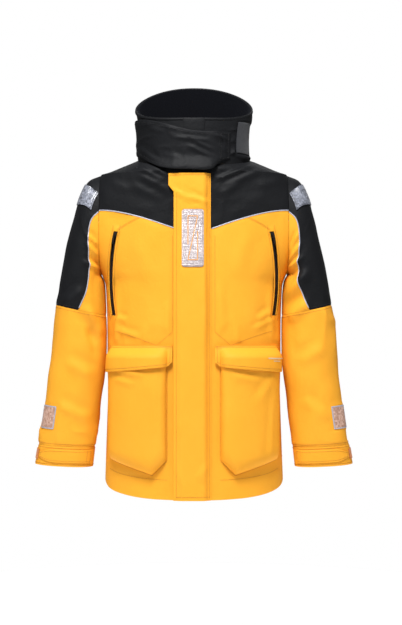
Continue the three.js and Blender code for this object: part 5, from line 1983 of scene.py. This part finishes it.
@dataclass
class CargoPocket:
    """One bellows pocket with its flap.

    Attributes:
        side: Which of the two it is.
        seam_z: Height of the flap's seam.
        flap_x: The flap's inner and outer ends.
        flap_drop: How far the flap hangs down at each end.
        pouch_x: The pouch's inner and outer edges.
        corner: The cut corner's lower end.
        inner_z: Height of its lower edge at the inner edge.
        outer_z: The same at the outer edge.
        room: How far the pouch stands off.
        sewn_room: The same at its sewn edge.
        flap_room: How much further the flap stands off.
    """

    side: Side
    seam_z: float = -430.0
    flap_x: tuple[float, float] = (48.0, 194.0)
    flap_drop: tuple[float, float] = (47.0, 64.0)
    pouch_x: tuple[float, float] = (64.0, 192.0)
    corner: tuple[float, float] = (95.0, -724.0)
    inner_z: float = -692.0
    outer_z: float = -694.0
    room: float = 22.0
    sewn_room: float = 1.6
    flap_room: float = 5.0

    def bottom(self, x: Grid) -> Grid:
        """Height of the pouch's lower edge."""
        (first, last), (corner_x, corner_z) = self.pouch_x, self.corner
        inner = mix(self.inner_z, corner_z, np.clip((x - first) / (corner_x - first), 0, 1))
        outer = mix(corner_z, self.outer_z, np.clip((x - corner_x) / (last - corner_x), 0, 1))
        return np.where(x < corner_x, inner, outer)

    @staticmethod
    def lift(share: Grid) -> Grid:
        """How far the pouch stands off at a share of its width."""
        return np.sqrt(np.clip(1 - np.abs(2 * share - 1) ** 5, 0, 1))

    def relief(self, x: Grid, z: Grid) -> Grid:
        """Soft swells and a few folds over the pouch."""
        seed = 101 if self.side is Side.LEFT else 103
        folds = {
            Side.LEFT: (Fold((92, -500), (150, -512), 1.6, 9), Fold((150, -560), (186, -500), 1.4, 10),
                        Fold((176, -700), (188, -560), 1.3, 8)),
            Side.RIGHT: (Fold((120, -498), (172, -486), 1.9, 9), Fold((140, -520), (180, -508), 1.3, 7),
                         Fold((72, -520), (76, -660), 0.9, 7)),
        }[self.side]
        inside = window(x, 66, 14, 190, 14) * ease((z - self.bottom(x)) / 26)
        return (2.2 * Swell(seed, 54, 66).at(x, z) + folded(folds, x, z)) * inside - 0.4 * inside

    @staticmethod
    def off(x: Grid, z: Grid, room: Grid) -> Grid:
        """Points a room away from the front, measured level."""
        across = TRUNK.front(x + 0.5, z) - TRUNK.front(x - 0.5, z)
        return TRUNK.front(x, z) + unit(np.cross(across, np.array([0, 0, 1.0]))) * room[..., None]

    def pouch_at(self, u: Grid, v: Grid) -> Grid:
        """Points of the pouch's inner face."""
        x = mix(*self.pouch_x, u)
        z = mix(self.bottom(x), self.seam_z - 34, v)
        return self.off(x, z, self.sewn_room + self.room * self.lift(u) * rounded(v * 7))

    def flap_at(self, u: Grid, v: Grid) -> Grid:
        """Points of the flap's inner face."""
        x = mix(*self.flap_x, u)
        drop = mix(*self.flap_drop, u) - 8 * (1 - ease(u * 12))
        z = self.seam_z - drop * (1 - v)
        share = np.clip((x - self.pouch_x[0]) / (self.pouch_x[1] - self.pouch_x[0]), 0, 1)
        over = (self.room * self.lift(share) + self.flap_room) * ease((1 - v) * drop / 30)
        return self.off(x, z, LAY * 2 + over)

    def build(self) -> None:
        """The pouch, its flap and their stitching, and the bars on the wearer's left flap."""
        self.pouch()
        self.flap()
        self.stitch()
        if self.side is Side.LEFT:
            self.mark()

    def pouch(self) -> None:
        """The pouch, with close rows where its foot and its edges turn."""
        name = self.side.label
        shares = 0.5 - 0.5 * signed_power(np.linspace(1, -1, 57), 0.7)
        rows = np.linspace(0, 1, 79) ** 1.25
        u, v = np.meshgrid(shares, rows)
        points = self.pouch_at(u, v)
        cloth = Sheet(points)
        piece = cloth.solid(f"cargo_pouch_{name}_cloth", 0, 2.0, self.relief(points[..., 0], points[..., 2]),
                            side=self.side)
        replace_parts(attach(dress(piece, YELLOW), "jacket_body"), f"cargo_pouch_{name}")

    def flap(self) -> None:
        """The flap over the pouch, with its three free edges rounded."""
        name = self.side.label
        u, v = np.meshgrid(graded(50, 0.018), graded(24, 0.05))
        points = self.flap_at(u, v)
        cloth = Sheet(points)
        relief = self.flap_swell(points, u, v)
        rounding = rounded(v / 0.05) * rounded(np.minimum(u, 1 - u) / 0.018)
        piece = cloth.solid(f"cargo_flap_{name}_cloth", 0, SHELL, relief, rounding, side=self.side)
        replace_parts(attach(dress(piece, YELLOW), f"cargo_flap_{name}_body"),
                    f"cargo_flap_{name}")

    def flap_swell(self, points: Grid, u: Grid, v: Grid) -> Grid:
        """Soft swell of the flap, which its seam and ends hold down."""
        seed = 111 if self.side is Side.LEFT else 113
        soft = 0.9 * Swell(seed, 44, 30).at(points[..., 0], points[..., 2]) + 0.6
        return soft * ease((1 - v) / 0.2) * ease(np.minimum(u, 1 - u) / 0.04)

    def flap_lift(self, u: Grid, v: Grid) -> Grid:
        """Points just over the flap's outer face, with its relief."""
        at = self.flap_at(u, v)
        out = unit(np.cross(self.flap_at(u + 0.004, v) - at, self.flap_at(u, v + 0.004) - at))
        return at + out * (SHELL + 0.3 + self.flap_swell(at, u, v))[:, None]

    def mark(self) -> None:
        """Two plain embroidered bars on the wearer's left flap, in place of any words."""
        for k, (start, end, v) in enumerate(((0.73, 0.97, 0.5), (0.8, 0.9, 0.4))):
            u = np.linspace(start, end, 24)
            path = self.flap_lift(u, np.full_like(u, v))
            made = ribbon(f"cargo_flap_mark_{k}", path, unit(beside_path(path, AHEAD)), AHEAD, 1.4 - 0.5 * k,
                          0.5)
            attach(dress(made, EMBROIDERY), f"cargo_flap_{self.side.label}_body")

    def stitch(self) -> None:
        """Stitches along the flap's seam and edges, and beside the pouch's sewn edges."""
        lines = []
        for (u0, v0), (u1, v1) in (((0.02, 0.95), (0.98, 0.95)), ((0.02, 0.87), (0.98, 0.87)),
                                   ((0.04, 0.13), (0.97, 0.1)), ((0.035, 0.13), (0.035, 0.92)),
                                   ((0.97, 0.1), (0.97, 0.92))):
            u, v = np.linspace(u0, u1, 60), np.linspace(v0, v1, 60)
            lines.append(self.flap_lift(u, v))
        flap = sewn(f"cargo_flap_stitching_{self.side.label}", lines, self.side)
        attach(flap, f"cargo_flap_{self.side.label}_body")
        x = np.linspace(self.pouch_x[0] - 1.5, self.pouch_x[1] - 2, 60)
        z = self.bottom(x) - 4
        edge_z = np.linspace(self.inner_z, -490, 60)
        front = Front(self.side)
        lines = [front.surface(x, z, 0.3),
                 front.surface(np.full_like(edge_z, self.pouch_x[0] - 3.5), edge_z, 0.3)]
        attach(sewn(f"cargo_pouch_stitching_{self.side.label}", lines, self.side), "jacket_body")


# ---- Sleeves -----------------------------------------------------------------------------------


@dataclass
class Sleeve:
    """One sleeve with its panels, piping, patches, cuff, tab and inner cuff.

    Attributes:
        side: Which of the two it is.
        bend_mm: Not used; meant as the length of the stretch between the body and the lifted sleeve over
            which the cloth would bend.
        bend_degrees: Not used; meant as how far that stretch would slope down.
        shoulder_patch: Half the angle that the shoulder's patch takes at its upper and lower edge.
        cuff_patch: First and last angle, then first and last station, of the cuff's patch.
        cuff_loop: The same of its loop tape.
        cuff_tab: The same of its tab.
    """

    side: Side
    bend_mm: float = 140.0
    bend_degrees: float = 38.0
    shoulder_patch: tuple[float, float] = (56.0, 74.0)
    cuff_patch: tuple[float, float, float, float] = (18.0, 62.0, 7.62, 8.04)
    cuff_loop: tuple[float, float, float, float] = (-70.0, 30.0, 8.58, 8.86)
    cuff_tab: tuple[float, float, float, float] = (33.0, 152.0, 8.54, 8.9)

    @property
    def folds(self) -> list[Fold]:
        """Folds of the elbow, the armpit and the shoulder, in the plane seen from the front."""
        return {
            Side.LEFT: [Fold((216, -325), (262, -262), 5, 12), Fold((222, -372), (265, -330), 4, 14),
                        Fold((226, -236), (246, -196), 3, 6), Fold((226, -215), (243, -170), 2.5, 5),
                        Fold((228, -250), (252, -226), 2.5, 6), Fold((250, -470), (300, -440), 1.8, 14),
                        Fold((262, -560), (310, -600), 1.8, 12), Fold((290, -340), (322, -380), 2.0, 12)],
            Side.RIGHT: [Fold((247, -348), (209, -409), 4, 12), Fold((223, -390), (204, -451), 4, 12),
                         Fold((226, -196), (252, -172), 2.4, 6), Fold((226, -222), (250, -192), 2.6, 7),
                         Fold((228, -250), (256, -236), 2.2, 7), Fold((262, -300), (300, -330), 2.4, 13),
                         Fold((246, -500), (296, -470), 1.8, 13), Fold((256, -600), (312, -570), 1.8, 12)],
        }[self.side]

    def relief(self, degrees: Grid, station: Grid, points: Grid) -> Grid:
        """Height of folds, drape and seams; nothing under patches."""
        x, y, z = (points[..., k] for k in range(3))
        seed = 121 if self.side is Side.LEFT else 141
        front = ease((ARM.forward(station) - y + 34) / 44)
        drape = 2.6 * Swell(seed, 52, 130).at(x + 0.6 * y, z) + 1.5 * Swell(seed + 2, 30, 46).at(x - 0.5 * y,
                                                                                                 z)
        crush = 4.2 * Swell(seed + 4, 45, 90).creases(x + 0.4 * y, z) * window(-z, 300, 50, 480, 60)
        wrist = 2.6 * Swell(seed + 6, 34, 50).creases(x + 0.5 * y, z) * window(-z, 560, 50, 672, 25)
        turned = np.abs((np.asarray(degrees) + 180) % 360 - 180)
        patch = 1 - ease((84 - turned) / 8) * ease((2.7 - station) / 0.3)
        a, b, c, d = self.cuff_patch
        pad = window(degrees, a - 12, 10, b + 12, 10) * window(station, c - 0.1, 0.08, d + 0.1, 0.08)
        root = ease(station / 0.7)
        ends = [np.exp(-(((station - seam) / 0.045) ** 2)) for seam in (ARM.seam, ARM.cuff_seam)]
        pucker = sum(0.9 * end * Swell(seed + 8, 11, 400).at(x + y, z) for end in ends) - 1.0 * sum(ends)
        calm = ease((ARM.cuff_seam - station) / 0.12)
        inner = ease((-np.cos(np.asarray(degrees) * DEGREE) - 0.6) / 0.35)
        body = (drape + crush + wrist + front * folded(self.folds, x, z, 2.2)) * root * patch * (1 - pad)
        return body * calm * (1 - 0.9 * inner * beside(z)) + pucker + 0.55 * side_gap(z) * inner

    def surface(self, degrees: Grid, station: Grid, room: float = 0.0) -> Grid:
        """Points on the sleeve with its relief, on the wearer's left."""
        degrees, station = np.broadcast_arrays(np.asarray(degrees, float), np.asarray(station, float))
        points = ARM.at(degrees, station)
        lift = self.relief(degrees, station, points) + room
        return points + ARM.normal(degrees, station) * lift[..., None]

    def hang(self, piece: bpy.types.Object, bends: bool = False, node: str | None = None) -> None:
        """Puts a piece on the sleeve's body, or, for a piece meant to bend with the armpit, bakes its place
        into its mesh and leaves it on no body.
        """
        name = f"sleeve_{self.side.label}_body"
        if bends:
            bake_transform(piece)
        else:
            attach(piece, name)
        if node:
            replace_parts(piece, node)

    def panel(self, name: str, angles: Grid, stations: Grid, wrap: bool = False) -> bpy.types.Object:
        """One cloth panel between angles and stations, each a grid."""
        points = ARM.at(angles, stations)
        cloth = Sheet(points, ARM.middle(stations), wrap)
        return cloth.solid(name, -SHELL, 0, self.relief(angles, stations, points), side=self.side)

    def build(self) -> None:
        """All of the sleeve's pieces."""
        side = self.side.label
        u, station = np.meshgrid(np.linspace(0, 1, 61), np.linspace(0, ARM.seam - 0.003, 101))
        edge = ARM.edge(station)
        upper = self.panel(f"sleeve_upper_{side}_cloth", mix(-1, 1, u) * (edge - 0.2), station)
        self.hang(dress(upper, BLACK), True, f"sleeve_upper_{side}")
        under = self.panel(f"sleeve_under_{side}_cloth", mix(edge + 0.2, 359.8 - edge, u), station)
        self.hang(dress(under, YELLOW), True, f"sleeve_under_{side}")
        around = np.linspace(0, 360, 97)[:-1]
        angle, station = np.meshgrid(around, np.linspace(ARM.seam + 0.003, ARM.cuff_seam - 0.003, 111))
        lower = self.panel(f"sleeve_lower_{side}_cloth", angle, station, True)
        self.hang(dress(lower, YELLOW), True, f"sleeve_lower_{side}")
        angle, station = np.meshgrid(around, np.linspace(ARM.cuff_seam + 0.003, ARM.cuff_end, 16))
        band = self.panel(f"cuff_band_{side}_cloth", angle, station, True)
        self.hang(dress(band, YELLOW), False, f"cuff_band_{side}")
        self.piping()
        self.shoulder_reflector()
        self.cuff_reflector()
        self.loop_tape()
        self.tab()
        self.inner_cuff()
        self.stitch()

    def piping(self) -> None:
        """Pale piping down the front edge of the black panel."""
        station = np.linspace(0.03, 5.61, 150)
        edge = ARM.edge(station)
        path, out = self.surface(edge, station, 0.1), ARM.normal(edge, station)
        made = ribbon(f"sleeve_piping_{self.side.label}_cord", path, beside_path(path, out), out, 1.3, 1.3,
                      side=self.side)
        self.hang(dress(made, PIPING), True, f"sleeve_piping_{self.side.label}")

    def shoulder(self, u: Grid, v: Grid, room: float) -> Grid:
        """Points of the band over the shoulder, which leans towards the neck at its ends."""
        off = np.abs(2 * u - 1) ** 2.2
        station = mix(mix(1.3, 0.08, off), mix(2.45, 0.86, off), v)
        return ARM.at(mix(-1, 1, u) * mix(*self.shoulder_patch, v), station, room)

    def shoulder_reflector(self) -> None:
        """The reflective patch of the shoulder with its stitches and plain printed lines."""
        side = self.side.label
        u, v = np.meshgrid(graded(50, 0.02), graded(15, 0.08))
        points = self.shoulder(u, v, 1.8)
        inside = ARM.middle(np.array(1.6))
        made = patch_with_cells(f"shoulder_patch_{side}_prismatic", points, inside, VINYL, SHOULDER_PATCH,
                                self.side)
        self.hang(made, True, f"shoulder_patch_{side}")
        at = self.shoulder
        whole, none = np.linspace(0.02, 0.98, 120), np.zeros(120)
        lines = [at(whole, none + 0.04, 2.9), at(whole, none + 0.96, 2.9),
                 at(none[:30] + 0.015, np.linspace(0.05, 0.95, 30), 2.9),
                 at(none[:30] + 0.985, np.linspace(0.05, 0.95, 30), 2.9)]
        self.hang(sewn(f"shoulder_patch_stitching_{side}", lines, self.side, SEAM_SHOULDER),
                  True)
        marks = [((0.62, 0.3), (0.8, 0.3)), ((0.62, 0.5), (0.74, 0.5)), ((0.62, 0.7), (0.8, 0.7)),
                 ((0.36, 0.25), (0.56, 0.75)), ((0.36, 0.75), (0.46, 0.5))]
        for k, ((s0, t0), (s1, t1)) in enumerate(marks):
            s, t = np.linspace(s0, s1, 24), np.linspace(t0, t1, 24)
            path = at(s, t, 2.85)
            out = unit(path - inside)
            made = ribbon(f"shoulder_mark_{side}_{k}", path, unit(beside_path(path, out)), out, 1.1, 0.3,
                          side=self.side)
            self.hang(dress(made, MARK_DARK), True)

    def cuff_reflector(self) -> None:
        """The reflective patch of the cuff with its raised rim."""
        side = self.side.label
        a, b, c, d = self.cuff_patch
        u, v = np.meshgrid(graded(12, 0.06), graded(10, 0.06))
        made = patch_with_cells(f"cuff_patch_{side}_prismatic", ARM.at(mix(a, b, u), mix(c, d, v), LAY),
                                ARM.middle(np.array((c + d) / 2)), VINYL, CUFF_PATCH, self.side)
        self.hang(made, False, f"cuff_patch_{side}")
        ring = [(mix(a, b, s), mix(c, d, t)) for s, t in
                [*((s, 0.0) for s in np.linspace(0, 1, 16)), *((1.0, t) for t in np.linspace(0, 1, 14)[1:]),
                 *((s, 1.0) for s in np.linspace(1, 0, 16)[1:]),
                 *((0.0, t) for t in np.linspace(1, 0, 14)[1:-1])]]
        degrees, station = (np.array(column) for column in zip(*ring))
        path, out = ARM.at(degrees, station, LAY), ARM.normal(degrees, station)
        ahead = unit(np.roll(path, -1, axis=0) - np.roll(path, 1, axis=0))
        made = ribbon(f"cuff_patch_rim_{side}", path, unit(np.cross(ahead, out)), out, 1.6, 1.3, closed=True,
                      side=self.side)
        self.hang(dress(made, PIPING))

    def tab_at(self, u: Grid, v: Grid) -> tuple[Grid, Grid, Grid]:
        """Angle, station and soft swell at places on the tapered cuff tab."""
        a, b, c, d = self.cuff_tab
        taper = 0.1 * ease((0.3 - u) / 0.3)
        soft = 0.35 * Swell(161, 24, 18).at(u * 150, v * 40) * ease((1 - u) / 0.1)
        return mix(a, b, u), mix(c + taper, d - taper, v), soft

    def loop_tape(self) -> None:
        """The cuff's loop tape, which the tab closes on."""
        side = self.side.label
        a, b, c, d = self.cuff_loop
        u, v = np.meshgrid(graded(40, 0.02), graded(8, 0.08))
        cloth = Sheet(ARM.at(mix(a, b, u), mix(c, d, v)), ARM.middle(np.array(8.7)))
        made = cloth.solid(f"cuff_loop_{side}_tape", LAY, LAY + 1.2,
                           rounding=cloth.edge_round(u, v, 0.015, 0.06),
                           side=self.side)
        self.hang(dress(made, LOOP_ORANGE), False, f"cuff_loop_{side}")

    def tab(self) -> None:
        """The cuff's tapered tab with its stitches."""
        side = self.side.label
        u, v = np.meshgrid(graded(48, 0.02), graded(12, 0.1))
        angle, station, soft = self.tab_at(u, v)
        cloth = Sheet(ARM.at(angle, station), ARM.middle(np.array(8.7)))
        made = cloth.solid(f"cuff_tab_{side}_cloth", LAY, LAY + 2.0, soft + 0.2,
                           cloth.edge_round(u, v, 0.02, 0.1),
                           side=self.side)
        body = f"cuff_tab_{side}_body"
        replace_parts(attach(dress(made, YELLOW), body), f"cuff_tab_{side}")
        rows = []
        for (s0, t0), (s1, t1) in (((0.06, 0.16), (0.97, 0.12)), ((0.06, 0.84), (0.97, 0.88)),
                                   ((0.05, 0.2), (0.05, 0.8)),
                                   ((0.88, 0.13), (0.88, 0.87)), ((0.97, 0.13), (0.97, 0.87))):
            angle, station, soft = self.tab_at(np.linspace(s0, s1, 40), np.linspace(t0, t1, 40))
            lift = LAY + 2.3 + soft
            rows.append(ARM.at(angle, station) + ARM.normal(angle, station) * lift[:, None])
        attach(sewn(f"cuff_tab_stitching_{side}", rows, self.side), body)

    def inner_cuff(self) -> None:
        """The gathered cuff inside the sleeve's end."""
        side = self.side.label
        angle, v = np.meshgrid(np.linspace(0, 360, 73)[:-1], np.linspace(0, 1, 21))
        station = mix(8.06, 8.92, v)
        shares = mix(1, 0.58, ease(v))
        points = ARM.at(angle, station, -3.6 * (1 - v), shares)
        cloth = Sheet(points, ARM.middle(station), True)
        gather = 0.9 * np.sin(angle * DEGREE * 22) * ease(v) * ease((1 - v) / 0.1 + 0.3)
        made = cloth.solid(f"inner_cuff_{side}_cloth", -1.2, 0, gather - 0.9 * ease(v), side=self.side)
        self.hang(dress(made, WRIST_CLOTH), False, f"inner_cuff_{side}")

    def stitch(self) -> None:
        """Stitches beside the sleeve's seams."""
        around = np.linspace(0, 360, 150)
        edge = float(ARM.edge(ARM.seam))
        side, at = self.side.label, self.surface
        lines = [at(around, ARM.seam + 0.055, 0.3)]
        self.hang(sewn(f"sleeve_stitching_{side}", lines, self.side), True)
        lines = [at(around, ARM.cuff_seam + off, 0.3) for off in (-0.06, 0.05)]
        lines.append(at(around, ARM.cuff_end - 0.05, 0.3))
        self.hang(sewn(f"cuff_stitching_{side}", lines, self.side))
        lines = [at(np.linspace(-edge + 4, edge - 4, 70), ARM.seam - 0.055, 0.3)]
        self.hang(sewn(f"sleeve_stitching_black_{side}", lines, self.side, SEAM_BLACK), True)


# ---- Studio ------------------------------------------------------------------------------------


@dataclass
class Studio:
    """Camera, floor, soft lights and plain world, none of them part of the jacket.

    Attributes:
        camera: Place of the camera, which looks level along +Y.
        lens: Its focal length on a 36 mm sensor.
        floor_z: Height of the floor.
        floor_radius: Half its width.
        glow: Its own light, which clears the jacket's faint shadow away.
        key: Power of the large softbox over the camera, in watts.
        fill: Power of each side softbox.
        ambient: Strength of the world's light.
        aim_z: Height of the jacket's middle, which the lights face.
    """

    camera: tuple[float, float, float] = (16.8, -3000.0, -354.0)
    lens: float = 72.0
    floor_z: float = -1300.0
    floor_radius: float = 1700.0
    glow: float = 0.7
    key: float = 134.0
    fill: float = 9.0
    ambient: float = 0.2
    aim_z: float = -350.0

    def build(self) -> None:
        """All of the studio."""
        scene = bpy.context.scene
        scene.view_settings.view_transform = "Standard"
        scene.view_settings.look = "None"
        lens = bpy.data.cameras.new("camera")
        lens.lens = self.lens
        lens.sensor_width = 36
        lens.clip_end = 50
        camera = add_object("camera", lens)
        camera.location = [c * MM for c in self.camera]
        camera.rotation_euler = (math.pi / 2, 0, 0)
        scene.camera = camera
        self.light("softbox_over_camera", (-250, -1600, 2100), self.key, 1.0)
        self.light("softbox_left", (2300, -1200, 300), self.fill, 1.6)
        self.light("softbox_right", (-2300, -1400, 200), self.fill, 1.6)
        self.light("softbox_behind", (300, 2200, 1200), self.fill, 1.8)
        self.world(scene)
        self.floor()

    def light(self, name: str, place: tuple[float, float, float], power: float, size: float) -> None:
        """One square softbox that faces the jacket's middle."""
        data = bpy.data.lights.new(name, "AREA")
        data.energy = power
        data.size = size
        box = add_object(name, data)
        box.location = [c * MM for c in place]
        aim = Vector((0, 0, self.aim_z * MM)) - box.location
        box.rotation_euler = aim.to_track_quat("-Z", "Y").to_euler()

    def world(self, scene: bpy.types.Scene) -> None:
        """Plain white backdrop that lights the jacket less than it shows."""
        world = bpy.data.worlds.new("plain_white")
        world.use_nodes = True
        tree = world.node_tree
        tree.nodes.clear()
        seen = add_node(tree, "ShaderNodeLightPath").outputs["Is Camera Ray"]
        lit = add_node(tree, "ShaderNodeBackground", {"Color": WHITE, "Strength": self.ambient})
        shown = add_node(tree, "ShaderNodeBackground", {"Color": WHITE, "Strength": 1.0})
        both = add_node(tree, "ShaderNodeMixShader", {0: seen, 1: lit.outputs[0], 2: shown.outputs[0]})
        add_node(tree, "ShaderNodeOutputWorld", {"Surface": both.outputs[0]})
        scene.world = world

    def floor(self) -> None:
        """Plain pale floor under the hanging jacket."""
        turn = np.linspace(0, 2 * math.pi, 65)[:-1]
        rim = stack(np.cos(turn) * self.floor_radius, np.sin(turn) * self.floor_radius, self.floor_z)
        floor = make_object("floor", rim, [list(range(len(turn)))])
        paint = Finish("white_matt_floor", "#F4F4F4").material()
        face = Surface(paint.node_tree, paint.node_tree.nodes["Principled BSDF"])
        face.settle({"Roughness": 0.9, "Emission Color": WHITE, "Emission Strength": self.glow})
        floor.data.materials.append(paint)
        floor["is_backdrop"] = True


# ---- The whole ---------------------------------------------------------------------------------


def write_sizes() -> None:
    """Works out the CAD's box and the finished object's box, as plain lists of metres, and does nothing more
    with them.
    """
    boxes = {"cad": CAD_BOX, "visual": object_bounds()}
    plain = {name: [[round(float(c), 6) for c in corner] for corner in box] for name, box in boxes.items()}


def main() -> None:
    """Builds the jacket's looks and the studio round it."""
    logging.basicConfig(level=logging.INFO, format="%(message)s")
    parts = [BodyShell(), Collar(), FaceFlap(), StormFlap(), MainZip()]
    for side in Side:
        parts += [ChestPocket(side), CargoPocket(side), Sleeve(side)]
    for part in parts:
        log.info("building %s %s", type(part).__name__, getattr(getattr(part, "side", None), "label", ""))
        part.build()
    Studio().build()
    write_sizes()


if __name__ == "__main__":
    main()
